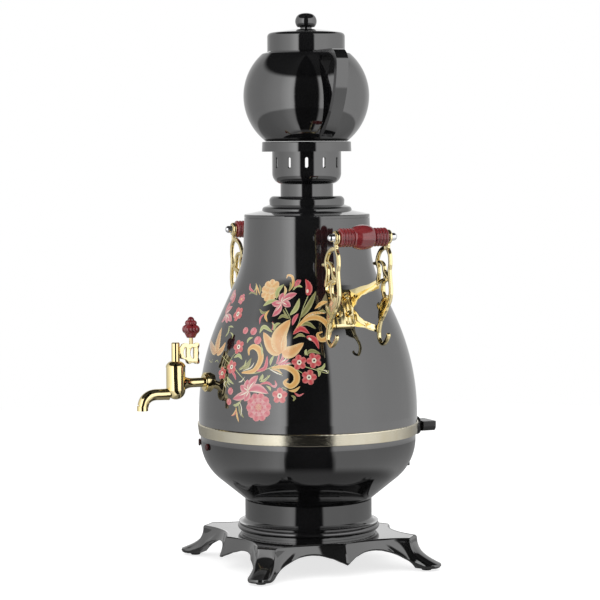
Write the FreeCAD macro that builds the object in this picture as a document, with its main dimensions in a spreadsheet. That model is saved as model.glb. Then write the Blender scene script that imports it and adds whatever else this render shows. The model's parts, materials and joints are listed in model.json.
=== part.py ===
import FreeCAD, Part
import math
import os
import Sketcher

# An electric samovar with its teapot, in millimetres.
# The origin is on the vessel's axis at the level of the floor, +Z is up.
# The tap points along -Y, the handles stand at +X and -X, the thermostat's knob is at +Y.

DRIVING_SIZES = {
    # Rubber feet and cast base
    "pad_radius": 6,
    "pad_thickness": 3,
    "pad_reach": 141,
    "leg_width": 24,
    "toe_reach": 157,
    "toe_thickness": 7,
    "toe_roundness": 5,
    "heel_reach": 132,
    "instep_radius": 48,
    "plate_top": 36.5,
    "plate_thickness": 3,
    "plate_corner_reach": 126,
    "plate_corner_width": 22,
    "plate_cusp_reach": 101.7,
    "plate_lip_height": 2,
    "plate_lip_inset": 1.6,
    "side_curve_radius": 88,
    "apron_bottom": 13.5,
    "apron_flare": 8.1,
    "apron_wall": 3,
    "arch_half_span": 76,
    "arch_radius": 82,
    # Centre tie
    "tie_radius": 4,
    "tie_clearance": 0.4,
    "tie_end_drop": 11,
    "washer_radius": 12,
    "washer_thickness": 1.6,
    "tie_nut_flats": 13,
    "tie_nut_height": 6.5,
    # Pedestal
    "neck_radius": 71.7,
    "neck_wall": 2,
    "neck_top_rise": 37,
    "neck_flange_width": 14,
    "seam_rise": 15.8,
    "cove_reach": 7.3,
    "cove_height": 3.7,
    "bead_bulge": 2.4,
    "bead_height": 6.6,
    "bead_groove": 1.2,
    # Bowl with the electrics
    "sheet_wall": 1.5,
    "bowl_knee_radius": 100.2,
    "bowl_knee_rise": 24.5,
    "bowl_radius": 121.6,
    "bowl_shoulder_rise": 44,
    "bowl_top_rise": 12.4,
    # Brass band
    "band_bottom_rise": -6.8,
    "band_top_rise": 6.8,
    "band_radius": 125,
    "band_taper": 1.5,
    "band_edge": 1.2,
    "band_gap": 0.1,
    # Pear shaped vessel
    "belly_radius": 123.5,
    "belly_rise": 8.8,
    "shoulder_radius": 99.5,
    "shoulder_rise": 110,
    "waist_radius": 81.6,
    "waist_rise": 39,
    "mouth_radius": 71.6,
    "mouth_rise": 46,
    "vessel_top_rise": 26.5,
    "mouth_inset": 1,
    # Tank floor and heater
    "floor_thickness": 1.5,
    "floor_gap": 0.1,
    "heater_tube_radius": 4.25,
    "heater_loop_radius": 62,
    "heater_rise": 20,
    "heater_drop": 22,
    "heater_leg_angle": 14,
    "heater_collar_radius": 9,
    "heater_collar_height": 4,
    "heater_gasket": 1.5,
    "heater_thread_radius": 6,
    "heater_nut_flats": 17,
    "heater_nut_height": 5,
    "cutout_radius": 9,
    "cutout_height": 9,
    "cutout_place": 45,
    # Thermostat and its knob
    "knob_rise": -5.4,
    "thermostat_width": 28,
    "thermostat_depth": 18,
    "thermostat_drop": 11,
    "bushing_radius": 5,
    "bushing_length": 9.9,
    "shaft_radius": 3,
    "shaft_running_gap": 0.05,
    "shaft_reach": 148,
    "bushing_nut_flats": 13,
    "bushing_nut_height": 2.5,
    "knob_skirt_radius": 10.5,
    "knob_back": 129.3,
    "knob_skirt_depth": 10,
    "knob_bar_reach": 154,
    "knob_bar_height": 11.5,
    "knob_bar_length": 31,
    # Appliance inlet
    "inlet_rise": -38.4,
    "inlet_width": 30,
    "inlet_tall": 22,
    "inlet_front": 120.5,
    "inlet_depth": 34,
    "inlet_wall": 3,
    "socket_depth": 17,
    "inlet_gap": 0.3,
    "pin_width": 4,
    "pin_thickness": 2,
    "pin_length": 13,
    "pin_spacing": 14,
    # Pilot lamps
    "lamp_rise": -16.4,
    "lamp_angle": 22,
    "lens_radius": 4,
    "lens_rise": 2.2,
    "lamp_hole_radius": 3,
    "lamp_depth": 14,
    # Tap
    "tap_rise": 41,
    "tap_axis": 158.7,
    "shank_radius": 5.25,
    "shank_bore": 3.2,
    "shank_inner_end": 103,
    "rosette_radius": 10.7,
    "rosette_front": 126,
    "tap_gasket_thickness": 2.5,
    "tap_nut_flats": 17,
    "tap_nut_height": 6,
    "barrel_radius": 11,
    "barrel_bottom_rise": -18.5,
    "barrel_top_rise": 18,
    "bonnet_rise": 6.5,
    "plug_top_radius": 6.6,
    "plug_bottom_radius": 5.7,
    "plug_bottom_rise": -14.5,
    "plug_running_gap": 0.05,
    "port_width": 6,
    "stem_radius": 3,
    "stem_top_rise": 41.5,
    "spout_rise": -11.4,
    "spout_radius": 6.3,
    "spout_bore": 4.2,
    "spout_bend": 11,
    "spout_reach": 197.7,
    "outlet_rise": -28.6,
    "key_sleeve_radius": 4.6,
    "key_plate_bottom_rise": 26,
    "key_plate_top_rise": 44,
    "key_plate_reach": 28,
    "key_plate_thickness": 3,
    "key_cap_height": 3.9,
    "key_knob_offset": 18.3,
    "key_knob_bottom_rise": 50,
    "key_knob_height": 23,
    "key_knob_radius": 10.3,
    # Side handles
    "grip_reach": 148,
    "grip_rise": 55,
    "grip_half_length": 28,
    "grip_end_radius": 10.3,
    "grip_barrel_radius": 13.6,
    "grip_barrel_half": 11.5,
    "grip_ring_pitch": 3.7,
    "grip_ring_groove": 1.2,
    "rod_radius": 2.5,
    "rod_gap": 0.2,
    "bracket_place": 30.4,
    "bracket_thickness": 4,
    "bracket_gap": 0.2,
    "eye_radius": 8,
    "dome_nut_radius": 4.2,
    "dome_nut_length": 8,
    "ribbon_width": 4.2,
    "upper_loop_radius": 14.5,
    "upper_loop_reach": 136,
    "upper_loop_rise": -24,
    "lower_loop_radius": 7.5,
    "lower_loop_reach": 143,
    "lower_loop_rise": -56,
    "hook_radius": 11,
    "hook_reach": 140,
    "hook_rise": -9,
    "arm_reach": 124,
    "upper_arm_bottom_rise": -11,
    "upper_arm_top_rise": 0,
    "lower_arm_bottom_rise": 0,
    "lower_arm_top_rise": 11,
    "saddle_half_width": 12,
    "saddle_bottom_rise": -8,
    "saddle_top_rise": 1,
    "saddle_rise": 6,
    "tab_rise": 2,
    "handle_gap": 0.1,
    "handle_screw_radius": 1.9,
    "handle_screw_head": 3.4,
    "handle_screw_side": 6,
    "handle_screw_low_rise": 15,
    "handle_screw_high_rise": -15,
    "handle_nut_flats": 7,
    "handle_nut_height": 3,
    # Main lid
    "lid_gap": 0.3,
    "lid_lip_height": 3.7,
    "lid_step_radius": 50.3,
    "lid_step_rise": 8.5,
    "lid_crest_radius": 42,
    "lid_crest_rise": 14.5,
    "lid_top_rise": 24.1,
    "lid_top_radius": 38.4,
    "steam_hole_radius": 20,
    "spigot_radius": 67.5,
    "spigot_depth": 11,
    "seal_width": 1.1,
    "seal_height": 3,
    # Crown and teapot stand
    "crown_stem_radius": 29.6,
    "crown_stem_top_rise": 13.4,
    "crown_cup_radius": 38.8,
    "crown_cup_rise": 25.4,
    "crown_top_rise": 49.7,
    "crown_foot_width": 9,
    "slot_count": 12,
    "slot_width": 3.6,
    "slot_bottom_rise": -18.3,
    "slot_top_rise": -6.3,
    "stand_bottom_rise": 0.1,
    "stand_top_rise": 11.2,
    "stand_radius": 50.3,
    "stand_hole_radius": 22,
    "stand_spigot_depth": 5,
    "crown_screw_place": 25,
    # Teapot
    "teapot_gap": 0.3,
    "teapot_base_radius": 46,
    "teapot_radius": 70.6,
    "teapot_belly_rise": 51,
    "teapot_shoulder_radius": 49.6,
    "teapot_shoulder_rise": 47,
    "teapot_wall": 3,
    "teapot_neck_radius": 39.8,
    "teapot_neck_top_rise": 13.5,
    "pot_lid_gap": 0.6,
    "pot_lid_radius": 43.5,
    "pot_lid_bottom_rise": 2.5,
    "pot_lid_shoulder_rise": 19,
    "pot_lid_top_rise": 28,
    "pot_lid_wall": 2.9,
    "pot_knob_radius": 12,
    "pot_knob_neck": 6.5,
    "pot_knob_top_rise": 45.5,
    "pot_handle_width": 14,
    "pot_handle_thickness": 6.5,
    "pot_handle_reach": 99,
    "pot_handle_top_rise": 2.5,
    "pot_handle_bend": 13,
    "pot_handle_root_reach": 60,
    "pot_handle_root_rise": 10.5,
    "spout_wall": 2.4,
}

FULL_TURN = 360
QUARTERS = (0, 90, 180, 270)

doc = FreeCAD.newDocument("samovar")
sheet = doc.addObject("Spreadsheet::Sheet", "Sizes")
for row, (alias, number) in enumerate(DRIVING_SIZES.items(), start=1):
    sheet.set("A%d" % row, alias)
    sheet.set("B%d" % row, str(number))
    sheet.setAlias("B%d" % row, alias)
doc.recompute()


class Size:
    """A length or count with the expression that works it out from the sheet."""

    def __init__(self, number, text):
        self.number = float(number)
        self.text = text

    def __add__(self, other):
        other = as_size(other)
        return Size(self.number + other.number, "(%s + %s)" % (self.text, other.text))

    def __sub__(self, other):
        other = as_size(other)
        return Size(self.number - other.number, "(%s - %s)" % (self.text, other.text))

    def __mul__(self, other):
        other = as_size(other)
        return Size(self.number * other.number, "%s * %s" % (self.text, other.text))

    def __truediv__(self, other):
        other = as_size(other)
        return Size(self.number / other.number, "(%s) / (%s)" % (self.text, other.text))

    def __neg__(self):
        return Size(-self.number, "(0 - %s)" % self.text)

    def __radd__(self, other):
        return as_size(other) + self

    def __rsub__(self, other):
        return as_size(other) - self

    def __rmul__(self, other):
        return as_size(other) * self


def as_size(value):
    return value if isinstance(value, Size) else Size(value, "%.9f" % value)


class Sheet:
    """The driving sizes by name."""


sz = Sheet()
for alias in DRIVING_SIZES:
    setattr(sz, alias, Size(sheet.get(alias), "Sizes." + alias))

# Heights that stand on one another: each is another height and a rise above it (or below, if negative)
HEIGHTS = (
    ("seam_height", "plate_top", "seam_rise"),
    ("neck_top", "plate_top", "neck_top_rise"),
    ("bowl_knee_height", "neck_top", "bowl_knee_rise"),
    ("bowl_shoulder_height", "bowl_knee_height", "bowl_shoulder_rise"),
    ("bowl_top", "bowl_shoulder_height", "bowl_top_rise"),
    ("band_bottom", "bowl_top", "band_bottom_rise"),
    ("band_top", "bowl_top", "band_top_rise"),
    ("knob_height", "bowl_top", "knob_rise"),
    ("inlet_height", "bowl_top", "inlet_rise"),
    ("lamp_height", "bowl_top", "lamp_rise"),
    ("belly_height", "band_top", "belly_rise"),
    ("shoulder_height", "belly_height", "shoulder_rise"),
    ("waist_height", "shoulder_height", "waist_rise"),
    ("mouth_height", "waist_height", "mouth_rise"),
    ("vessel_top", "mouth_height", "vessel_top_rise"),
    ("tap_height", "belly_height", "tap_rise"),
    ("barrel_bottom", "tap_height", "barrel_bottom_rise"),
    ("barrel_top", "tap_height", "barrel_top_rise"),
    ("plug_bottom", "tap_height", "plug_bottom_rise"),
    ("stem_top", "tap_height", "stem_top_rise"),
    ("spout_height", "tap_height", "spout_rise"),
    ("outlet_height", "tap_height", "outlet_rise"),
    ("key_plate_bottom", "tap_height", "key_plate_bottom_rise"),
    ("key_plate_top", "tap_height", "key_plate_top_rise"),
    ("key_knob_bottom", "tap_height", "key_knob_bottom_rise"),
    ("saddle_bottom", "shoulder_height", "saddle_bottom_rise"),
    ("saddle_top", "waist_height", "saddle_top_rise"),
    ("lower_arm_bottom", "saddle_bottom", "lower_arm_bottom_rise"),
    ("lower_arm_top", "saddle_bottom", "lower_arm_top_rise"),
    ("upper_arm_bottom", "saddle_top", "upper_arm_bottom_rise"),
    ("upper_arm_top", "saddle_top", "upper_arm_top_rise"),
    ("handle_screw_low", "saddle_bottom", "handle_screw_low_rise"),
    ("handle_screw_high", "saddle_top", "handle_screw_high_rise"),
    ("grip_height", "waist_height", "grip_rise"),
    ("upper_loop_height", "grip_height", "upper_loop_rise"),
    ("lower_loop_height", "grip_height", "lower_loop_rise"),
    ("hook_height", "saddle_bottom", "hook_rise"),
    ("lid_step_height", "vessel_top", "lid_step_rise"),
    ("lid_crest_height", "vessel_top", "lid_crest_rise"),
    ("lid_top_height", "vessel_top", "lid_top_rise"),
    ("crown_stem_top", "lid_top_height", "crown_stem_top_rise"),
    ("crown_cup_height", "lid_top_height", "crown_cup_rise"),
    ("crown_top", "lid_top_height", "crown_top_rise"),
    ("slot_bottom", "crown_top", "slot_bottom_rise"),
    ("slot_top", "crown_top", "slot_top_rise"),
    ("stand_bottom", "crown_top", "stand_bottom_rise"),
    ("stand_top", "crown_top", "stand_top_rise"),
    ("teapot_belly_height", "stand_top", "teapot_belly_rise"),
    ("teapot_shoulder_height", "teapot_belly_height", "teapot_shoulder_rise"),
    ("teapot_neck_top", "teapot_shoulder_height", "teapot_neck_top_rise"),
    ("pot_lid_bottom", "teapot_shoulder_height", "pot_lid_bottom_rise"),
    ("pot_lid_shoulder", "teapot_shoulder_height", "pot_lid_shoulder_rise"),
    ("pot_lid_top", "teapot_shoulder_height", "pot_lid_top_rise"),
    ("pot_knob_top", "teapot_shoulder_height", "pot_knob_top_rise"),
    ("pot_handle_top", "teapot_shoulder_height", "pot_handle_top_rise"),
    ("pot_handle_root_height", "stand_top", "pot_handle_root_rise"),
)
for height, below, rise in HEIGHTS:
    setattr(sz, height, getattr(sz, below) + getattr(sz, rise))


def swing(rise, run):
    """Radius of an arc that leaves a straight wall and moves `run` away from it over `rise`."""
    return (run * run + rise * rise) / (2 * run)


# Sketch helpers

def bind(target, path, size):
    """Set a property from a size: its number now, its expression for later."""
    size = as_size(size)
    if "Sizes." in size.text:
        target.setExpression(path, size.text)
    return size.number


def sketch_on(body, name, role="XY_Plane", offset=0, turn=None):
    """A sketch on one of the body's own origin planes, `offset` along the plane's normal."""
    plane = [f for f in body.Origin.OriginFeatures if f.Role == role][0]
    sketch = body.newObject("Sketcher::SketchObject", name)
    sketch.AttachmentSupport = [(plane, "")]
    sketch.MapMode = "FlatFace"
    rotation = turn or FreeCAD.Rotation()
    offset = as_size(offset)
    sketch.AttachmentOffset = FreeCAD.Placement(FreeCAD.Vector(0, 0, offset.number), rotation)
    bind(sketch, "AttachmentOffset.Base.z", offset)
    return sketch


def pin_point(sketch, index, end, x, y):
    """Hold a point of a sketch at x, y."""
    for value, kind, axis in ((x, "DistanceX", -2), (y, "DistanceY", -1)):
        if abs(value.number) < 1e-9:
            sketch.addConstraint(Sketcher.Constraint("PointOnObject", index, end, axis))
            continue
        number = sketch.addConstraint(Sketcher.Constraint(kind, -1, 1, index, end, value.number))
        bind(sketch, "Constraints[%d]" % number, value)


def arc_between(start, end, radius):
    """The short arc between two points: it turns left for a positive radius."""
    (x0, y0), (x1, y1) = start, end
    dx, dy = x1 - x0, y1 - y0
    chord = math.hypot(dx, dy)
    height = math.sqrt(max(radius * radius - chord * chord / 4, 0))
    side = 1 if radius > 0 else -1
    cx = (x0 + x1) / 2 - side * dy / chord * height
    cy = (y0 + y1) / 2 + side * dx / chord * height
    first = math.atan2(y0 - cy, x0 - cx)
    last = math.atan2(y1 - cy, x1 - cx)
    if side < 0:
        first, last = last, first
    if last <= first:
        last += 2 * math.pi
    circle = Part.Circle(FreeCAD.Vector(cx, cy, 0), FreeCAD.Vector(0, 0, 1), abs(radius))
    return Part.ArcOfCircle(circle, first, last)


def draw(sketch, points, closed=True):
    """Draw lines and arcs through points: (x, y) after a line, (x, y, radius) after an arc."""
    rows = [tuple(as_size(value) for value in point) for point in points]
    pairs = list(zip(rows, rows[1:] + rows[:1])) if closed else list(zip(rows, rows[1:]))
    ends = []
    for start, end in pairs:
        p0 = (start[0].number, start[1].number)
        p1 = (end[0].number, end[1].number)
        if len(end) == 2:
            index = sketch.addGeometry(Part.LineSegment(FreeCAD.Vector(*p0, 0), FreeCAD.Vector(*p1, 0)), False)
            ends.append((index, 1, 2))
            continue
        radius = end[2]
        index = sketch.addGeometry(arc_between(p0, p1, radius.number), False)
        number = sketch.addConstraint(Sketcher.Constraint("Radius", index, abs(radius.number)))
        bind(sketch, "Constraints[%d]" % number, radius if radius.number > 0 else -radius)
        ends.append((index, 1, 2) if radius.number > 0 else (index, 2, 1))
    joints = list(zip(ends, ends[1:] + ends[:1])) if closed else list(zip(ends, ends[1:]))
    for (index, _, last), (following, first, _) in joints:
        sketch.addConstraint(Sketcher.Constraint("Coincident", index, last, following, first))
    for (index, first, _), row in zip(ends, rows):
        pin_point(sketch, index, first, row[0], row[1])
    if not closed:
        pin_point(sketch, ends[-1][0], ends[-1][2], rows[-1][0], rows[-1][1])
    return sketch


def draw_circle(sketch, x, y, radius):
    """Draw a full circle."""
    x, y, radius = as_size(x), as_size(y), as_size(radius)
    centre = FreeCAD.Vector(x.number, y.number, 0)
    index = sketch.addGeometry(Part.Circle(centre, FreeCAD.Vector(0, 0, 1), radius.number), False)
    number = sketch.addConstraint(Sketcher.Constraint("Radius", index, radius.number))
    bind(sketch, "Constraints[%d]" % number, radius)
    if abs(x.number) < 1e-9 and abs(y.number) < 1e-9:
        sketch.addConstraint(Sketcher.Constraint("Coincident", index, 3, -1, 1))
    else:
        pin_point(sketch, index, 3, x, y)
    return sketch


def draw_box(sketch, low_x, low_y, high_x, high_y):
    """Draw a rectangle between two corners."""
    return draw(sketch, [(low_x, low_y), (high_x, low_y), (high_x, high_y), (low_x, high_y)])


# Feature helpers

def new_body(name):
    return doc.addObject("PartDesign::Body", name)


def revolve(body, sketch, cut=False, axis="V_Axis"):
    """Turn a sketch a full turn about its own vertical or horizontal axis."""
    kind = "PartDesign::Groove" if cut else "PartDesign::Revolution"
    feature = body.newObject(kind, sketch.Name + ("Groove" if cut else "Turned"))
    feature.Profile = sketch
    feature.ReferenceAxis = (sketch, [axis])
    feature.Angle = FULL_TURN
    return feature


def extrude(body, sketch, length, both=False, reverse=False, cut=False):
    """Pad or pocket a sketch."""
    kind = "PartDesign::Pocket" if cut else "PartDesign::Pad"
    feature = body.newObject(kind, sketch.Name + ("Cut" if cut else "Pad"))
    feature.Profile = sketch
    feature.Length = bind(feature, "Length", length)
    feature.SideType = "Symmetric" if both else "One side"
    feature.Reversed = reverse
    return feature


def turn_copies(body, features, count, axis_role="Z_Axis"):
    """Repeat features around an origin axis."""
    pattern = body.newObject("PartDesign::PolarPattern", features[0].Name + "Around")
    pattern.Originals = features
    axis = [f for f in body.Origin.OriginFeatures if f.Role == axis_role][0]
    pattern.Axis = (axis, [""])
    pattern.Angle = FULL_TURN
    pattern.Occurrences = int(bind(pattern, "Occurrences", count))
    body.Tip = pattern
    return pattern


def loft(body, sketches, cut=False):
    """Join closed sketches with straight walls."""
    kind = "PartDesign::SubtractiveLoft" if cut else "PartDesign::AdditiveLoft"
    feature = body.newObject(kind, sketches[0].Name + "Loft")
    feature.Profile = sketches[0]
    feature.Sections = sketches[1:]
    return feature


def sweep(body, profile, path, cut=False):
    """Carry a profile along a path sketch."""
    kind = "PartDesign::SubtractivePipe" if cut else "PartDesign::AdditivePipe"
    feature = body.newObject(kind, profile.Name + "Swept")
    feature.Profile = profile
    feature.Spine = path
    return feature


def spin(name, points, role="XZ_Plane", axis="V_Axis"):
    """A turned piece: a body with one closed profile turned about the sketch's own axis."""
    body = new_body(name)
    revolve(body, draw(sketch_on(body, name + "Profile", role), points), axis=axis)
    return body


def at(x=0, y=0, z=0, axis=(0, 0, 1), angle=0):
    """A placement from numbers."""
    spot = [as_size(value).number for value in (x, y, z)]
    return FreeCAD.Placement(FreeCAD.Vector(*spot), FreeCAD.Rotation(FreeCAD.Vector(*axis), angle))


def place(thing, x=0, y=0, z=0, axis=(0, 0, 1), angle=0):
    """Put a piece at a place that follows the sheet."""
    thing.Placement = at(x, y, z, axis, angle)
    for letter, value in zip("xyz", (x, y, z)):
        bind(thing, "Placement.Base." + letter, as_size(value))
    return thing


parts = []


def node(label, thing):
    """Name a finished sub-part."""
    thing.Label = label
    parts.append(thing)
    return thing


def group(label, things):
    """Several separate solids of one kind under one name."""
    compound = doc.addObject("Part::Compound", label)
    compound.Links = things
    return node(label, compound)


def hex_nut(name, flats, bore, height):
    """A hexagon nut standing on the XY plane."""
    prism = doc.addObject("Part::Prism", name + "Hexagon")
    prism.Polygon = 6
    prism.Circumradius = bind(prism, "Circumradius", flats / (2 * math.cos(math.radians(30))))
    prism.Height = bind(prism, "Height", height)
    hole = doc.addObject("Part::Cylinder", name + "Bore")
    hole.Radius = bind(hole, "Radius", bore)
    hole.Height = bind(hole, "Height", height)
    nut = doc.addObject("Part::Cut", name)
    nut.Base = prism
    nut.Tool = hole
    return nut


def screw(name, shank, head, length):
    """A slotted round head screw along +Z, its head's seat at the origin and its shank below."""
    slot_width, slot_depth, head_height = shank * 0.4, shank * 0.45, shank * 0.9
    body = new_body(name)
    profile = [(0, -length), (shank, -length), (shank, 0), (head, 0), (head, head_height * 0.4),
               (head * 0.55, head_height), (0, head_height)]
    revolve(body, draw(sketch_on(body, name + "Profile", "XZ_Plane"), profile))
    slot = sketch_on(body, name + "Slot", "XY_Plane", head_height)
    draw_box(slot, -(head + 1), -slot_width / 2, head + 1, slot_width / 2)
    extrude(body, slot, slot_depth, cut=True)
    return body


# Wall lines shared by the vessel and all that sits on it

shoulder_swing = swing(sz.shoulder_height - sz.belly_height, sz.belly_radius - sz.shoulder_radius)
mouth_swing = swing(sz.mouth_height - sz.waist_height, sz.waist_radius - sz.mouth_radius)


def vessel_line(offset):
    """The pear's wall from the band up to the rim, `offset` outside the outer face."""
    offset = as_size(offset)
    return [
        (sz.belly_radius + offset, sz.band_top),
        (sz.belly_radius + offset, sz.belly_height),
        (sz.shoulder_radius + offset, sz.shoulder_height, shoulder_swing),
        (sz.waist_radius + offset, sz.waist_height),
        (sz.mouth_radius + offset, sz.mouth_height, -mouth_swing),
        (sz.mouth_radius + offset - sz.mouth_inset, sz.vessel_top),
    ]


def trim_inside(body, name, offset):
    """Cut away what would lie inside the vessel's outer face."""
    line = vessel_line(offset)
    profile = [(0, sz.band_top)] + line + [(0, sz.vessel_top)]
    revolve(body, draw(sketch_on(body, name, "XZ_Plane"), profile), cut=True)


def trim_outside(body, name, offset, reach):
    """Cut away what would lie outside a line in the vessel."""
    line = vessel_line(offset)
    far = sz.belly_radius + reach
    profile = line + [(far, sz.vessel_top), (far, sz.band_top)]
    revolve(body, draw(sketch_on(body, name, "XZ_Plane"), profile), cut=True)


# Cast base: plate, flared apron with two arches a side, and four legs

def base_outline(sketch, corner_reach, cusp_reach):
    """A square with cut corners and sides that curve in to a cusp."""
    half = math.sqrt(0.5)
    middle = corner_reach * half
    side = sz.plate_corner_width * (half / 2)
    near, far = middle + side, middle - side
    radius = -sz.side_curve_radius
    points = []
    for (c, k) in ((1, 0), (0, 1), (-1, 0), (0, -1)):
        def turned(x, y):
            return (as_size(x) * c - as_size(y) * k, as_size(x) * k + as_size(y) * c)
        points.append(turned(near, far) + (radius,))
        points.append(turned(far, near))
        points.append(turned(0, cusp_reach) + (radius,))
    first = points[0][:2] + (radius,)
    return draw(sketch, [first] + points[1:])


def make_base():
    body = new_body("Base")
    underside = sz.plate_top - sz.plate_thickness
    apron_top = sz.plate_top - sz.plate_lip_height
    lip_corner = sz.plate_corner_reach - sz.plate_lip_inset
    lip_cusp = sz.plate_cusp_reach - sz.plate_lip_inset
    foot_corner = sz.plate_corner_reach + sz.apron_flare
    foot_cusp = sz.plate_cusp_reach + sz.apron_flare
    top = sketch_on(body, "PlateTop", "XY_Plane", apron_top)
    base_outline(top, lip_corner, lip_cusp)
    extrude(body, top, sz.plate_lip_height)
    high = base_outline(sketch_on(body, "ApronHigh", "XY_Plane", apron_top), sz.plate_corner_reach,
                        sz.plate_cusp_reach)
    low = base_outline(sketch_on(body, "ApronLow", "XY_Plane", sz.apron_bottom), foot_corner, foot_cusp)
    loft(body, [high, low])
    wall = sz.apron_wall
    high = base_outline(sketch_on(body, "HollowHigh", "XY_Plane", underside),
                        sz.plate_corner_reach - wall, sz.plate_cusp_reach - wall)
    low = base_outline(sketch_on(body, "HollowLow", "XY_Plane", sz.apron_bottom - 1),
                       foot_corner - wall, foot_cusp - wall)
    loft(body, [high, low], cut=True)
    for role, name in (("XZ_Plane", "ArchesAlongX"), ("YZ_Plane", "ArchesAlongY")):
        arches = sketch_on(body, name, role)
        span = sz.arch_half_span
        draw(arches, [(-span, 0), (span, 0), (span, sz.apron_bottom), (0, sz.apron_bottom, sz.arch_radius),
                      (-span, sz.apron_bottom, sz.arch_radius)])
        extrude(body, arches, 3 * sz.toe_reach, both=True, cut=True)
    leg = sketch_on(body, "Leg", "XZ_Plane", 0, FreeCAD.Rotation(FreeCAD.Vector(0, 1, 0), 45))
    sole = sz.pad_thickness
    toe_top = sole + sz.toe_thickness
    inner = sz.plate_corner_reach - 3 * wall
    draw(leg, [(inner, apron_top), (inner, underside - 2 * wall), (sz.heel_reach, sole),
               (sz.toe_reach - sz.toe_roundness, sole), (sz.toe_reach, toe_top - 1, sz.toe_roundness * 1.2),
               (sz.toe_reach - 1.5, toe_top), (sz.plate_corner_reach, apron_top, -sz.instep_radius)])
    pad = extrude(body, leg, sz.leg_width, both=True)
    turn_copies(body, [pad], 4)
    hole = draw_circle(sketch_on(body, "TieHole", "XY_Plane", sz.plate_top), 0, 0, sz.tie_radius + sz.tie_clearance)
    extrude(body, hole, 2 * sz.plate_thickness, cut=True)
    return body


node("base", make_base())

diagonal = sz.pad_reach * math.sqrt(0.5)
feet = []
for number, (right, back) in enumerate(((1, -1), (1, 1), (-1, 1), (-1, -1))):
    foot = spin("Foot%d" % number, [(0, 0), (sz.pad_radius - 1, 0), (sz.pad_radius, sz.pad_thickness * 0.4),
                                    (sz.pad_radius, sz.pad_thickness), (0, sz.pad_thickness)])
    feet.append(place(foot, diagonal * right, diagonal * back, 0))
group("rubber_feet", feet)

# Pedestal neck with its cove and beads

neck = sz.neck_radius
cove_foot = sz.seam_height - sz.cove_height
bead_top = cove_foot - 2.2
bead_bottom = bead_top - sz.bead_height
bead_root = neck + sz.cove_reach - sz.bead_groove
inner_neck = neck - sz.neck_wall
pedestal_points = [
    (inner_neck, sz.plate_top),
    (bead_root - 2, sz.plate_top),
    (bead_root - 2, bead_bottom - 0.6),
    (bead_root, bead_bottom - 0.6),
    (bead_root, bead_bottom),
    (bead_root, bead_top, swing(sz.bead_height / 2, sz.bead_bulge)),
    (bead_root, cove_foot - 1.2),
    (neck + sz.cove_reach, cove_foot - 1.2),
    (neck + sz.cove_reach, cove_foot),
    (neck - 0.5, sz.seam_height, -sz.cove_reach * 1.05),
    (neck - 0.5, sz.seam_height + 0.6),
    (neck, sz.seam_height + 0.6),
    (neck, sz.neck_top),
    (neck - sz.neck_flange_width, sz.neck_top),
    (neck - sz.neck_flange_width, sz.neck_top - sz.neck_wall),
    (inner_neck, sz.neck_top - sz.neck_wall),
]
node("pedestal_neck", spin("PedestalNeck", pedestal_points))

# Bowl: the shell under the vessel that holds the electrics

bowl_swing = swing(sz.bowl_shoulder_height - sz.bowl_knee_height, sz.bowl_radius - sz.bowl_knee_radius)
wall = sz.sheet_wall


def make_bowl():
    bottom = sz.neck_top
    tie_hole = sz.tie_radius + sz.tie_clearance
    slant = wall * 1.3
    body = spin("Bowl", [
        (tie_hole, bottom), (neck - 1.5, bottom), (sz.bowl_knee_radius, sz.bowl_knee_height),
        (sz.bowl_radius, sz.bowl_shoulder_height, bowl_swing), (sz.bowl_radius, sz.bowl_top),
        (sz.bowl_radius - wall, sz.bowl_top), (sz.bowl_radius - wall, sz.bowl_shoulder_height),
        (sz.bowl_knee_radius - slant, sz.bowl_knee_height + wall * 0.3, -bowl_swing),
        (neck - 1.5 - slant, bottom + wall), (tie_hole, bottom + wall)])
    shaft_hole = sketch_on(body, "ThermostatHole", "XZ_Plane", -sz.belly_radius)
    draw_circle(shaft_hole, 0, sz.knob_height, sz.bushing_radius + sz.inlet_gap)
    extrude(body, shaft_hole, 3 * sz.bushing_radius, cut=True, reverse=True)
    inlet_hole = sketch_on(body, "InletHole", "XZ_Plane", -sz.belly_radius)
    half_width = sz.inlet_width / 2 + sz.inlet_gap
    half_tall = sz.inlet_tall / 2 + sz.inlet_gap
    draw_box(inlet_hole, -half_width, sz.inlet_height - half_tall, half_width, sz.inlet_height + half_tall)
    extrude(body, inlet_hole, 2 * sz.inlet_tall, cut=True, reverse=True)
    for name, angle in (("CentreLampHole", 0), ("SideLampHole", -1)):
        turn = FreeCAD.Rotation(FreeCAD.Vector(0, 1, 0), angle * sz.lamp_angle.number)
        hole = sketch_on(body, name, "XZ_Plane", 0, turn)
        draw_circle(hole, 0, sz.lamp_height, sz.lamp_hole_radius + sz.inlet_gap)
        extrude(body, hole, 2 * sz.belly_radius, cut=True, reverse=True)
    return body


node("bowl", make_bowl())

# Brass band over the joint of bowl and vessel


def make_band():
    inner = sz.bowl_radius + sz.band_gap
    edge = sz.band_edge
    lower = sz.band_radius - sz.band_taper
    body = spin("BrassBand", [
        (inner, sz.band_bottom), (lower - edge, sz.band_bottom), (lower, sz.band_bottom + edge, edge),
        (sz.band_radius, sz.band_top - edge), (sz.band_radius - edge, sz.band_top, edge), (inner, sz.band_top)])
    hole = sketch_on(body, "BandShaftHole", "XZ_Plane", -sz.belly_radius + sz.bushing_radius)
    draw_circle(hole, 0, sz.knob_height, sz.bushing_radius + sz.inlet_gap)
    extrude(body, hole, 3 * sz.bushing_radius, cut=True)
    return body


node("brass_band", make_band())

# Pear shaped vessel with its skirt inside the band

SLOPE = math.degrees(math.atan2(sz.shoulder_radius.number - sz.waist_radius.number,
                                sz.waist_height.number - sz.shoulder_height.number))
COS_SLOPE = math.cos(math.radians(SLOPE))
SIN_SLOPE = math.sin(math.radians(SLOPE))


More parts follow.
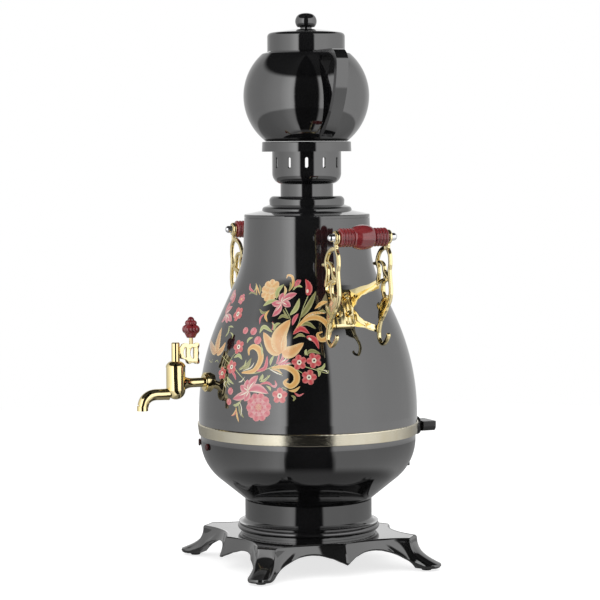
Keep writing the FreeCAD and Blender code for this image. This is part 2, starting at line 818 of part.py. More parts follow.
def wall_radius(height):
    """The vessel's outer radius on the straight stretch where the handles sit."""
    fall = (sz.shoulder_radius - sz.waist_radius) / (sz.waist_height - sz.shoulder_height)
    return sz.shoulder_radius - (height - sz.shoulder_height) * fall


def handle_holes(body, prefix, radius):
    """Holes for the handle screws, square to the wall on the +X side."""
    features = []
    turn = FreeCAD.Rotation(FreeCAD.Vector(1, 0, 0), -SLOPE)
    for name, height in (("Low", sz.handle_screw_low), ("High", sz.handle_screw_high)):
        level = height * COS_SLOPE - wall_radius(height) * SIN_SLOPE
        for side in (-1, 1):
            title = "%s%s%s" % (prefix, name, "Near" if side < 0 else "Far")
            hole = sketch_on(body, title, "YZ_Plane", 0, turn)
            draw_circle(hole, sz.handle_screw_side * side, level, radius)
            features.append(extrude(body, hole, 3 * sz.shoulder_radius, cut=True, reverse=True))
    return features


ledge = sz.band_top + wall


def make_vessel():
    skirt = sz.bowl_radius
    line = vessel_line(0)
    inner = [(point[0] - wall,) + point[1:] for point in line]
    back = [inner[5], inner[4][:2], inner[3][:2] + (mouth_swing,), inner[2][:2],
            inner[1][:2] + (-shoulder_swing,), (inner[0][0], ledge)]
    body = spin("Vessel", [(skirt, sz.bowl_top), (skirt, sz.band_top)] + line + back
                + [(skirt - wall, ledge), (skirt - wall, sz.bowl_top)])
    hole = sketch_on(body, "TapHole", "XZ_Plane", sz.shoulder_radius)
    draw_circle(hole, 0, sz.tap_height, sz.shank_radius + sz.band_gap)
    extrude(body, hole, 2 * sz.rosette_radius + sz.belly_radius - sz.shoulder_radius, cut=True, reverse=True)
    holes = handle_holes(body, "WallHole", sz.handle_screw_radius + sz.band_gap)
    turn_copies(body, holes, 2)
    return body


node("vessel", make_vessel())

# Tank floor with the tie stud, the heater and the dry boil cut-out

floor_top = ledge + sz.floor_thickness
heater_x = sz.heater_loop_radius * math.sin(math.radians(sz.heater_leg_angle.number))
heater_y = sz.heater_loop_radius * math.cos(math.radians(sz.heater_leg_angle.number))


def make_floor():
    body = new_body("TankFloor")
    disc = draw_circle(sketch_on(body, "FloorDisc", "XY_Plane", ledge), 0, 0,
                       sz.belly_radius - wall - sz.floor_gap)
    extrude(body, disc, sz.floor_thickness)
    for side in (-1, 1):
        hole = sketch_on(body, "HeaterHole%d" % (side + 2), "XY_Plane", floor_top)
        draw_circle(hole, heater_x * side, heater_y, sz.heater_thread_radius + sz.band_gap)
        extrude(body, hole, 2 * sz.floor_thickness, cut=True)
    return body


node("tank_floor", make_floor())

tie_bottom = sz.plate_top - sz.plate_thickness - sz.tie_end_drop
node("tie_rod", spin("TieRod", [(0, tie_bottom), (sz.tie_radius - 1, tie_bottom), (sz.tie_radius, tie_bottom + 1),
                                (sz.tie_radius, ledge - 3), (sz.tie_radius + 4, ledge - 1),
                                (sz.tie_radius + 4, ledge), (0, ledge)]))

washer_seat = sz.plate_top - sz.plate_thickness
node("tie_washer", spin("TieWasher", [
    (sz.tie_radius + sz.tie_clearance, washer_seat - sz.washer_thickness),
    (sz.washer_radius, washer_seat - sz.washer_thickness), (sz.washer_radius, washer_seat),
    (sz.tie_radius + sz.tie_clearance, washer_seat)]))
tie_nut = hex_nut("TieNut", sz.tie_nut_flats, sz.tie_radius + sz.shaft_running_gap, sz.tie_nut_height)
node("tie_nut", place(tie_nut, 0, 0, washer_seat - sz.washer_thickness - sz.tie_nut_height))


def make_heater():
    """A sheathed loop with two legs down through the floor, its elbows rounded by balls."""
    loop_height = floor_top + sz.heater_rise
    pieces = []
    torus = doc.addObject("Part::Torus", "HeaterLoop")
    bind(torus, "Radius1", sz.heater_loop_radius)
    bind(torus, "Radius2", sz.heater_tube_radius)
    torus.Radius1, torus.Radius2 = sz.heater_loop_radius.number, sz.heater_tube_radius.number
    torus.Angle3 = bind(torus, "Angle3", FULL_TURN - 2 * sz.heater_leg_angle)
    torus.Placement = at(0, 0, loop_height, (0, 0, 1), 90 + sz.heater_leg_angle.number)
    bind(torus, "Placement.Base.z", loop_height)
    pieces.append(torus)
    for side in (-1, 1):
        leg = doc.addObject("Part::Cylinder", "HeaterLeg%d" % (side + 2))
        leg.Radius = bind(leg, "Radius", sz.heater_tube_radius)
        leg.Height = bind(leg, "Height", sz.heater_rise + sz.heater_drop)
        pieces.append(place(leg, heater_x * side, heater_y, floor_top - sz.heater_drop))
        ball = doc.addObject("Part::Sphere", "HeaterElbow%d" % (side + 2))
        ball.Radius = bind(ball, "Radius", sz.heater_tube_radius * 1.04)
        pieces.append(place(ball, heater_x * side, heater_y, loop_height))
    heater = doc.addObject("Part::MultiFuse", "Heater")
    heater.Shapes = pieces
    return heater


node("heating_element", make_heater())


def heater_bushes(name, points):
    """The same turned piece round both legs of the heater."""
    pair = []
    for side in (-1, 1):
        piece = spin("%s%d" % (name, side + 2), points)
        pair.append(place(piece, heater_x * side, heater_y, 0))
    return pair


tube = sz.heater_tube_radius + sz.band_gap
gasket_top = floor_top + sz.heater_gasket
collar_top = gasket_top + sz.heater_collar_height
thread_bottom = ledge - sz.heater_nut_height - 3
group("heater_collars", heater_bushes("HeaterCollar", [
    (tube, thread_bottom), (sz.heater_thread_radius, thread_bottom), (sz.heater_thread_radius, gasket_top),
    (sz.heater_collar_radius, gasket_top), (sz.heater_collar_radius, collar_top), (tube, collar_top)]))
group("heater_gaskets", heater_bushes("HeaterGasket", [
    (sz.heater_thread_radius + sz.band_gap, floor_top), (sz.heater_collar_radius, floor_top),
    (sz.heater_collar_radius, gasket_top), (sz.heater_thread_radius + sz.band_gap, gasket_top)]))
heater_nuts = []
for side in (-1, 1):
    nut = hex_nut("HeaterNut%d" % (side + 2), sz.heater_nut_flats, sz.heater_thread_radius + sz.shaft_running_gap,
                  sz.heater_nut_height)
    heater_nuts.append(place(nut, heater_x * side, heater_y, ledge - sz.heater_nut_height))
group("heater_nuts", heater_nuts)

cutout = spin("ThermalCutout", [
    (0, ledge), (0, ledge - sz.cutout_height), (sz.cutout_radius * 0.7, ledge - sz.cutout_height),
    (sz.cutout_radius * 0.7, ledge - 3), (sz.cutout_radius, ledge - 3), (sz.cutout_radius, ledge)])
node("thermal_cutout", place(cutout, 0, -sz.cutout_place, 0))

# Thermostat behind the back wall, its nut, shaft and knob; all turned about +Y at the knob's height

thermostat_face = sz.bowl_radius - wall - sz.thermostat_width * sz.thermostat_width / (8 * sz.bowl_radius) - sz.inlet_gap


def make_thermostat():
    body = new_body("Thermostat")
    case = sketch_on(body, "ThermostatCase", "XZ_Plane", -thermostat_face)
    half = sz.thermostat_width / 2
    draw_box(case, -half, -sz.thermostat_drop, half, sz.thermostat_drop)
    extrude(body, case, sz.thermostat_depth)
    bushing = draw_circle(sketch_on(body, "Bushing", "XZ_Plane", -thermostat_face), 0, 0, sz.bushing_radius)
    extrude(body, bushing, sz.bushing_length, reverse=True)
    bore = draw_circle(sketch_on(body, "BushingBore", "XZ_Plane", -(thermostat_face + sz.bushing_length)), 0, 0,
                       sz.shaft_radius + sz.shaft_running_gap)
    extrude(body, bore, sz.bushing_length + sz.thermostat_depth / 2, cut=True, reverse=True)
    return place(body, 0, 0, sz.knob_height)


node("thermostat", make_thermostat())
bushing_nut = hex_nut("BushingNut", sz.bushing_nut_flats, sz.bushing_radius + sz.shaft_running_gap,
                      sz.bushing_nut_height)
bushing_nut_seat = sz.band_radius - 0.3
node("thermostat_nut", place(bushing_nut, 0, bushing_nut_seat, sz.knob_height, (1, 0, 0), -90))
shaft_start = thermostat_face - sz.thermostat_depth / 2 + 1
node("thermostat_shaft", place(spin("ThermostatShaft", [
    (0, shaft_start), (sz.shaft_radius, shaft_start), (sz.shaft_radius, sz.shaft_reach - 1),
    (sz.shaft_radius - 1, sz.shaft_reach), (0, sz.shaft_reach)], "XY_Plane"), 0, 0, sz.knob_height))


def make_knob():
    """A round skirt with a grip bar that is flat on top and round below."""
    front = sz.knob_back + sz.knob_skirt_depth
    body = spin("ControlKnob", [(0, sz.knob_back), (sz.knob_skirt_radius, sz.knob_back),
                                (sz.knob_skirt_radius, front - 2.5), (sz.knob_skirt_radius - 2.5, front, 2.5),
                                (0, front)], "XY_Plane")
    half = sz.knob_bar_length / 2
    tall = sz.knob_bar_height / 2
    bar = sketch_on(body, "GripBar", "XZ_Plane", -(front - 1))
    draw(bar, [(half, tall), (-half, tall), (-half, 0), (-half + tall, -tall, tall), (half - tall, -tall),
               (half, 0, tall)])
    extrude(body, bar, sz.knob_bar_reach - front + 1, reverse=True)
    bore = draw_circle(sketch_on(body, "KnobBore", "XZ_Plane", -sz.knob_back), 0, 0,
                       sz.shaft_radius + sz.shaft_running_gap)
    extrude(body, bore, sz.shaft_reach + 0.5 - sz.knob_back, cut=True)
    return place(body, 0, 0, sz.knob_height)


node("control_knob", make_knob())

# Appliance inlet in the back of the bowl


def make_inlet():
    body = new_body("Inlet")
    half_width, half_tall = sz.inlet_width / 2, sz.inlet_tall / 2
    case = sketch_on(body, "InletCase", "XZ_Plane", -sz.inlet_front)
    corner = 4
    draw(case, [(-half_width, -half_tall), (half_width, -half_tall), (half_width, half_tall - corner),
                (half_width - corner, half_tall), (-half_width + corner, half_tall), (-half_width, half_tall - corner)])
    extrude(body, case, sz.inlet_depth)
    socket = sketch_on(body, "Socket", "XZ_Plane", -sz.inlet_front)
    inner_width, inner_tall = half_width - sz.inlet_wall, half_tall - sz.inlet_wall
    draw(socket, [(-inner_width, -inner_tall), (inner_width, -inner_tall), (inner_width, inner_tall - corner),
                  (inner_width - corner, inner_tall), (-inner_width + corner, inner_tall),
                  (-inner_width, inner_tall - corner)])
    extrude(body, socket, sz.socket_depth, cut=True, reverse=True)
    for name, x, z in PINS:
        slot = sketch_on(body, name + "Slot", "XZ_Plane", -(sz.inlet_front - sz.socket_depth))
        gap = 0.05
        draw_box(slot, x - sz.pin_thickness / 2 - gap, z - sz.pin_width / 2 - gap, x + sz.pin_thickness / 2 + gap,
                 z + sz.pin_width / 2 + gap)
        extrude(body, slot, sz.inlet_depth, cut=True, reverse=True)
    return place(body, 0, 0, sz.inlet_height)


PINS = (("LivePin", -sz.pin_spacing / 2, as_size(-2)), ("NeutralPin", sz.pin_spacing / 2, as_size(-2)),
        ("EarthPin", as_size(0), as_size(2)))
node("mains_inlet", make_inlet())

pins = []
for name, x, z in PINS:
    pin = doc.addObject("Part::Box", name)
    pin.Length = bind(pin, "Length", sz.pin_thickness)
    pin.Width = bind(pin, "Width", sz.inlet_depth - sz.socket_depth + sz.pin_length + 6)
    pin.Height = bind(pin, "Height", sz.pin_width)
    pin_root = sz.inlet_front - sz.inlet_depth - 6
    pins.append(place(pin, x - sz.pin_thickness / 2, pin_root, sz.inlet_height + z - sz.pin_width / 2))
group("inlet_pins", pins)

# Pilot lamps in the front of the bowl: lens, body and spring clip of each are pushed in from outside

lenses, holders = [], []
for name, angle in (("Centre", 0), ("Side", -sz.lamp_angle.number)):
    seat = sz.bowl_radius + 0.3
    turn = FreeCAD.Rotation(FreeCAD.Vector(0, 0, 1), angle)
    lens = spin(name + "Lens", [(0, -seat), (0, -(seat + sz.lens_rise)),
                                (sz.lens_radius - 1.2, -(seat + sz.lens_rise)),
                                (sz.lens_radius, -(seat + 1), 1.3), (sz.lens_radius, -seat)], "XY_Plane")
    holder = spin(name + "Holder", [(0, -seat), (sz.lamp_hole_radius, -seat),
                                    (sz.lamp_hole_radius, -(seat - sz.lamp_depth)), (0, -(seat - sz.lamp_depth))],
                  "XY_Plane")
    for piece, row in ((lens, lenses), (holder, holders)):
        piece.Placement = at(0, 0, sz.lamp_height, (0, 0, 1), angle)
        bind(piece, "Placement.Base.z", sz.lamp_height)
        row.append(piece)
group("lamp_lenses", lenses)
group("lamp_holders", holders)

# Tap: rosette, body, gasket and nut are fixed; bonnet holds the taper plug down


def make_rosette():
    body = new_body("TapRosette")
    back = sz.belly_radius - 8
    disc = sketch_on(body, "RosetteDisc", "XZ_Plane", back)
    draw_circle(disc, 0, sz.tap_height, sz.rosette_radius)
    extrude(body, disc, sz.rosette_front - 1.5 - back)
    rim = sketch_on(body, "RosetteRim", "XZ_Plane", sz.rosette_front - 1.5)
    draw_circle(rim, 0, sz.tap_height, sz.rosette_radius - 1.6)
    extrude(body, rim, 1.5)
    bore = sketch_on(body, "RosetteBore", "XZ_Plane", sz.rosette_front)
    draw_circle(bore, 0, sz.tap_height, sz.shank_radius + sz.band_gap)
    extrude(body, bore, 2 * sz.rosette_radius, cut=True)
    trim_inside(body, "RosetteSeat", sz.handle_gap)
    return body


def make_tap_gasket():
    body = new_body("TapGasket")
    disc = sketch_on(body, "GasketDisc", "XZ_Plane", gasket_face)
    draw_circle(disc, 0, sz.tap_height, sz.rosette_radius)
    draw_circle(disc, 0, sz.tap_height, sz.shank_radius + sz.band_gap)
    extrude(body, disc, 2 * sz.rosette_radius)
    trim_outside(body, "GasketSeat", -wall - sz.band_gap, 30)
    return body


gasket_face = sz.belly_radius - wall - 5 - sz.tap_gasket_thickness
node("tap_rosette", make_rosette())
node("tap_gasket", make_tap_gasket())
tap_nut = hex_nut("TapNut", sz.tap_nut_flats, sz.shank_radius + sz.shaft_running_gap, sz.tap_nut_height)
node("tap_nut", place(tap_nut, 0, -(gasket_face - sz.tap_nut_height), sz.tap_height, (1, 0, 0), 90))


def spout_path(body, name, start):
    """The line that the spout follows: out, round and down."""
    reach = sz.spout_reach - sz.tap_axis
    path = sketch_on(body, name, "YZ_Plane")
    return draw(path, [(-start, sz.spout_height), (-(reach - sz.spout_bend), sz.spout_height),
                       (-reach, sz.spout_height - sz.spout_bend, sz.spout_bend), (-reach, sz.outlet_height)],
                closed=False)


def make_tap_body():
    edge = 3
    body = spin("TapBody", [(0, sz.barrel_bottom), (sz.barrel_radius - edge, sz.barrel_bottom),
                            (sz.barrel_radius, sz.barrel_bottom + edge, as_size(edge)),
                            (sz.barrel_radius, sz.barrel_top), (0, sz.barrel_top)])
    shank = sketch_on(body, "Shank", "XZ_Plane")
    draw_circle(shank, 0, sz.tap_height, sz.shank_radius)
    extrude(body, shank, sz.tap_axis - sz.shank_inner_end, reverse=True)
    wide = draw_circle(sketch_on(body, "FlareWide", "XZ_Plane", -(sz.barrel_radius - 4)), 0, sz.tap_height,
                       sz.barrel_radius - 2.6)
    slim = draw_circle(sketch_on(body, "FlareSlim", "XZ_Plane", -(sz.barrel_radius + 4)), 0, sz.tap_height,
                       sz.shank_radius)
    loft(body, [wide, slim])
    ring = draw_circle(sketch_on(body, "SpoutRing", "XZ_Plane", 0), 0, sz.spout_height, sz.spout_radius)
    sweep(body, ring, spout_path(body, "SpoutLine", as_size(0)))
    seat = draw(sketch_on(body, "PlugSeat", "XZ_Plane"), [
        (0, sz.plug_bottom - 0.3), (sz.plug_bottom_radius + sz.plug_running_gap, sz.plug_bottom - 0.3),
        (sz.plug_top_radius + sz.plug_running_gap, sz.barrel_top), (0, sz.barrel_top)])
    revolve(body, seat, cut=True)
    bore = draw_circle(sketch_on(body, "ShankBore", "XZ_Plane", 0), 0, sz.tap_height, sz.shank_bore)
    extrude(body, bore, sz.tap_axis - sz.shank_inner_end + 1, cut=True)
    ring = draw_circle(sketch_on(body, "SpoutBore", "XZ_Plane", 0), 0, sz.spout_height, sz.spout_bore)
    sweep(body, ring, spout_path(body, "SpoutBoreLine", as_size(0)), cut=True)
    return place(body, 0, -sz.tap_axis, 0)


node("tap_body", make_tap_body())

bonnet_top = sz.barrel_top + sz.bonnet_rise
bonnet = spin("TapBonnet", [
    (sz.stem_radius + sz.plug_running_gap, sz.barrel_top), (sz.barrel_radius, sz.barrel_top),
    (sz.barrel_radius, sz.barrel_top + 0.8), (sz.key_sleeve_radius + 1, bonnet_top, sz.bonnet_rise * 1.2),
    (sz.stem_radius + sz.plug_running_gap, bonnet_top)])
node("tap_bonnet", place(bonnet, 0, -sz.tap_axis, 0))


def make_plug():
    shoulder = sz.barrel_top - 0.2
    body = spin("TapPlug", [(0, sz.plug_bottom), (sz.plug_bottom_radius, sz.plug_bottom),
                            (sz.plug_top_radius, shoulder), (sz.stem_radius, shoulder),
                            (sz.stem_radius, sz.stem_top), (0, sz.stem_top)])
    port = sketch_on(body, "Port", "YZ_Plane")
    draw_box(port, -sz.port_width / 2, sz.spout_height - 1.5, sz.port_width / 2, sz.tap_height + sz.shank_bore)
    extrude(body, port, 4 * sz.plug_top_radius, both=True, cut=True)
    return place(body, 0, -sz.tap_axis, 0)


node("tap_plug", make_plug())


def make_key():
    """A sleeve on the stem with an openwork plate that points to the vessel and carries the knob."""
    low, high = sz.key_plate_bottom, sz.key_plate_top
    start, reach = sz.key_sleeve_radius - 0.8, sz.key_plate_reach
    body = spin("TapKey", [(sz.stem_radius + sz.plug_running_gap, bonnet_top + 0.3),
                           (sz.key_sleeve_radius, bonnet_top + 0.3), (sz.key_sleeve_radius, sz.stem_top - 0.2),
                           (sz.stem_radius + sz.plug_running_gap, sz.stem_top - 0.2)])
    plate = sketch_on(body, "KeyPlate", "YZ_Plane")
    step = (reach - start) / 3
    rise = (high - low) / 2
    wave = step * 0.62
    tall_wave = rise * 0.62
    clear = sz.key_sleeve_radius + 1
    draw(plate, [(start, low + 2.5), (start + step, low, wave), (start + step * 2, low, wave), (reach, low, wave),
                 (reach, low + rise, tall_wave), (reach, high, tall_wave), (start + step * 2, high, wave),
                 (start + step, high, wave), (clear, high, wave), (clear, sz.stem_top - 1), (start, sz.stem_top - 1)])
    extrude(body, plate, sz.key_plate_thickness, both=True)
    sleeve_bore = draw_circle(sketch_on(body, "KeyBore", "XY_Plane", high), 0, 0,
                              sz.stem_radius + sz.plug_running_gap)
    extrude(body, sleeve_bore, 2 * (high - low), cut=True)
    middle = low + rise
    for number, place_y in enumerate((start + step * 0.85, start + step * 2)):
        scroll = sketch_on(body, "Scroll%d" % number, "YZ_Plane")
        tip = place_y + step * 0.32
        draw(scroll, [(tip, middle + rise * 0.55, -rise * 0.95), (tip, middle - rise * 0.55, rise * 0.62)])
        extrude(body, scroll, 2 * sz.key_plate_thickness, both=True, cut=True)
    post = draw_circle(sketch_on(body, "KnobPost", "XY_Plane", high - 1), 0, sz.key_knob_offset, 2.2)
    extrude(body, post, sz.key_knob_bottom + 6 - high)
    return place(body, 0, -sz.tap_axis, 0)


node("tap_key", make_key())
cap = spin("KeyCap", [(0, sz.stem_top), (sz.key_sleeve_radius, sz.stem_top),
                      (sz.key_sleeve_radius, sz.stem_top + sz.key_cap_height - 1),
                      (sz.key_sleeve_radius - 1, sz.stem_top + sz.key_cap_height), (0, sz.stem_top + sz.key_cap_height)])
node("tap_key_cap", place(cap, 0, -sz.tap_axis, 0))


def make_tap_knob():
    """A berry cluster: a stepped foot, a ring of large balls, a ring of small ones and one on top."""
    radius, bottom, tall = sz.key_knob_radius, sz.key_knob_bottom, sz.key_knob_height
    pieces = []
    foot = doc.addObject("Part::Cone", "KnobFoot")
    foot.Radius1 = bind(foot, "Radius1", radius * 0.45)
    foot.Radius2 = bind(foot, "Radius2", radius * 0.8)
    foot.Height = bind(foot, "Height", tall * 0.3)
    pieces.append(place(foot, 0, 0, bottom))
    rings = ((0.5, 0.50, 0.40, 4, 45), (0.33, 0.34, 0.70, 4, 45), (0.37, 0, 0.845, 1, 0))
    for row, (ball, ring, level, count, first) in enumerate(rings):
        for number in range(count):
            angle = math.radians(first + FULL_TURN / count * number)
            sphere = doc.addObject("Part::Sphere", "Berry%d%d" % (row, number))
            sphere.Radius = bind(sphere, "Radius", radius * ball)
            spot = radius * ring
            pieces.append(place(sphere, spot * math.cos(angle), spot * math.sin(angle), bottom + tall * level))
    fused = doc.addObject("Part::MultiFuse", "KnobCluster")
    fused.Shapes = pieces
    hole = doc.addObject("Part::Cylinder", "KnobHole")
    hole.Radius = bind(hole, "Radius", as_size(2.2) + sz.plug_running_gap)
    hole.Height = 5.5
    place(hole, 0, 0, bottom)
    knob = doc.addObject("Part::Cut", "TapKnob")
    knob.Base, knob.Tool = fused, hole
    return place(knob, 0, sz.key_knob_offset - sz.tap_axis, 0)


node("tap_knob", make_tap_knob())

# Side handles: made for the +X side and turned for the other


def ribbon(body, name, offset, x, z, radius, first, last, width):
    """A curved strap in a bracket's plane: part of a ring between two angles in degrees."""
    steps = max(2, math.ceil((last - first) / 80))
    angles = [math.radians(first + (last - first) * i / steps) for i in range(steps + 1)]
    outer, inner = radius + width / 2, radius - width / 2
    points = [(x + outer * math.cos(angles[0]), z + outer * math.sin(angles[0]))]
    points += [(x + outer * math.cos(a), z + outer * math.sin(a), outer) for a in angles[1:]]
    points += [(x + inner * math.cos(angles[-1]), z + inner * math.sin(angles[-1]))]
    points += [(x + inner * math.cos(a), z + inner * math.sin(a), -inner) for a in angles[-2::-1]]
    sketch = draw(sketch_on(body, name, "XZ_Plane", offset), points)
    return extrude(body, sketch, sz.bracket_thickness, both=True)


def leaf(body, name, offset, points):
    """A flat piece of a bracket between corners, in the bracket's plane."""
    sketch = draw(sketch_on(body, name, "XZ_Plane", offset), points)
    return extrude(body, sketch, sz.bracket_thickness, both=True)


def stadium(sketch, x, z, half_width, half_height):
    """An upright slot shape with round ends."""
    straight = half_height - half_width
    return draw(sketch, [
        (x + half_width, z - straight, half_width), (x + half_width, z + straight),
        (x, z + half_height, half_width), (x - half_width, z + straight, half_width),
        (x - half_width, z - straight), (x, z - half_height, half_width)])


def make_bracket(name, hand):
    """A cast scroll bracket: eye, two loops, leaf and hook, and two arms to a tab on the vessel."""
    body = new_body(name)
    offset = -sz.bracket_place * hand
    width = sz.ribbon_width
    gap = sz.handle_gap
    ex, ez = sz.grip_reach, sz.grip_height
    ux, uz, ur = sz.upper_loop_reach, sz.upper_loop_height, sz.upper_loop_radius
    lx, lz, lr = sz.lower_loop_reach, sz.lower_loop_height, sz.lower_loop_radius
    ax = sz.arm_reach

    tab = sketch_on(body, name + "Tab", "XY_Plane", sz.saddle_bottom)
    near, far = sorted((0.2 * hand, hand * (sz.saddle_half_width.number + 4)))
    edge = (sz.saddle_half_width + 4) * hand
    low_y, high_y = (as_size(near), edge) if hand > 0 else (edge, as_size(far))
    draw_box(tab, sz.waist_radius - 15, low_y, sz.shoulder_radius + 15, high_y)
    extrude(body, tab, sz.saddle_top - sz.saddle_bottom)
    trim_outside(body, name + "TabFace", gap + sz.tab_rise, 60)

    for title, bottom, top in (("UpperArm", sz.upper_arm_bottom, sz.upper_arm_top),
                               ("LowerArm", sz.lower_arm_bottom, sz.lower_arm_top)):
        arm = sketch_on(body, name + title, "XY_Plane", bottom)
        root = wall_radius((bottom + top) / 2)
        inner_y = (sz.saddle_half_width + 0.3) * hand
        outer_y = (sz.bracket_place + sz.bracket_thickness / 2) * hand
        plane_y = (sz.bracket_place - sz.bracket_thickness / 2) * hand
        corners = [(root - 8, inner_y), (root + sz.tab_rise + 3, inner_y), (ax + width / 2, plane_y),
                   (ax + width / 2, outer_y), (ax - width / 2, outer_y), (root - 8, inner_y + 6 * hand)]
        draw(arm, corners if hand > 0 else corners[::-1])
        extrude(body, arm, top - bottom)
    trim_inside(body, name + "Seat", gap)

    eye = draw_circle(sketch_on(body, name + "Eye", "XZ_Plane", offset), ex, ez, sz.eye_radius)
    extrude(body, eye, sz.bracket_thickness, both=True)
    ring = draw_circle(sketch_on(body, name + "UpperLoop", "XZ_Plane", offset), ux, uz, ur)
    draw_circle(ring, ux, uz, ur - width)
    extrude(body, ring, sz.bracket_thickness, both=True)
    loop = stadium(sketch_on(body, name + "LowerLoop", "XZ_Plane", offset), lx, lz, lr, lr * 1.85)
    extrude(body, loop, sz.bracket_thickness, both=True)
    leaf(body, name + "EyeNeck", offset, [(ex + 3, ez - 5), (ex - 5, ez - 4), (ux + ur * 0.15, uz + ur - 3),
                                          (ux + ur * 0.75, uz + ur * 0.55)])
    leaf(body, name + "LoopNeck", offset, [(ux + 9, uz - ur + 5), (ux + 1, uz - ur + 3), (lx - 5, lz + lr * 1.5),
                                           (lx + 5, lz + lr * 1.5)])
    leaf(body, name + "Strand", offset, [(ux - ur + 1, uz - 6), (ux - ur + 5.5, uz - ur + 4), (ax + width / 2, lz),
                                         (ax - width / 2, lz)][::-1])
    leaf(body, name + "Spur", offset, [(ux - ur + 2, uz + 1), (ux - ur - 4.5, uz - 5), (ux - ur + 3, uz - 6)])
    foot = lz - lr * 1.85
    leaf(body, name + "Leaf", offset, [
        (lx + lr - 1, foot + 7, 30), (lx - lr + 1, foot + 6), (ax + 2, foot - 1), (ax - 3, foot + 5),
        (ax - width / 2, sz.lower_arm_top - 2, 25), (ax - width / 2, sz.lower_arm_bottom + 2),
        (ax + width, sz.lower_arm_bottom - 3)])
    ribbon(body, name + "Hook", offset, sz.hook_reach, sz.hook_height, sz.hook_radius, 155, 385, width)
    leaf(body, name + "Stem", offset, [
        (ax + width, sz.lower_arm_bottom + 3), (ax - width / 2, sz.lower_arm_bottom + 3),
        (sz.hook_reach - sz.hook_radius - 2.5, sz.hook_height + 2),
        (sz.hook_reach - sz.hook_radius + 2.5, sz.hook_height + 4)])
    hole = stadium(sketch_on(body, name + "LowerLoopHole", "XZ_Plane", offset), lx, lz, lr - width * 0.8,
                   lr * 1.85 - width * 0.8)
    extrude(body, hole, 2 * sz.bracket_thickness, both=True, cut=True)
    hole = draw_circle(sketch_on(body, name + "EyeHole", "XZ_Plane", offset), ex, ez, sz.rod_radius + sz.rod_gap)
    extrude(body, hole, 2 * sz.bracket_thickness, both=True, cut=True)
    handle_holes(body, name + "Hole", sz.handle_screw_radius + sz.band_gap)
    return body


def make_saddle(name):
    """The cover plate over the two brackets' tabs."""
    body = new_body(name)
    block = sketch_on(body, name + "Block", "XY_Plane", sz.saddle_bottom)
    draw_box(block, sz.waist_radius - 15, -sz.saddle_half_width, sz.shoulder_radius + 20, sz.saddle_half_width)
    extrude(body, block, sz.saddle_top - sz.saddle_bottom)
    trim_inside(body, name + "Seat", sz.handle_gap * 2 + sz.tab_rise)
    trim_outside(body, name + "Face", sz.saddle_rise, 60)
    handle_holes(body, name + "Hole", sz.handle_screw_radius + sz.band_gap)
    return body


def make_grip(name):
    """A turned grip: a barrel between ringed ends, bored for the rod; turned about Y."""
    end, barrel = sz.grip_end_radius, sz.grip_barrel_radius
    bore = sz.rod_radius + sz.rod_gap
    half, middle, pitch = sz.grip_half_length, sz.grip_barrel_half, sz.grip_ring_pitch
    rings = 4
    points = [(end - sz.grip_ring_groove, half)]
    for number in range(1, rings + 1):
        points.append((end - sz.grip_ring_groove, half - pitch * number, -pitch * 0.6))
    points.append((end - sz.grip_ring_groove, middle))
    points.append((end + 0.8, middle))
    upper = points + [(end + 0.8, -middle, -swing(middle, barrel - end - 0.8))]
    lower = [(end - sz.grip_ring_groove, -middle), (end - sz.grip_ring_groove, -(half - pitch * rings))]
    for number in range(rings - 1, -1, -1):
        lower.append((end - sz.grip_ring_groove, -(half - pitch * number), -pitch * 0.6))
    outline = [(bore, half)] + upper + lower + [(bore, -half)]
    return spin(name, outline, "XY_Plane")


def along_wall(height, rise):
    """A point above the wall, `rise` along its normal, as reach and height."""
    return wall_radius(height) + rise * COS_SLOPE, height + rise * SIN_SLOPE


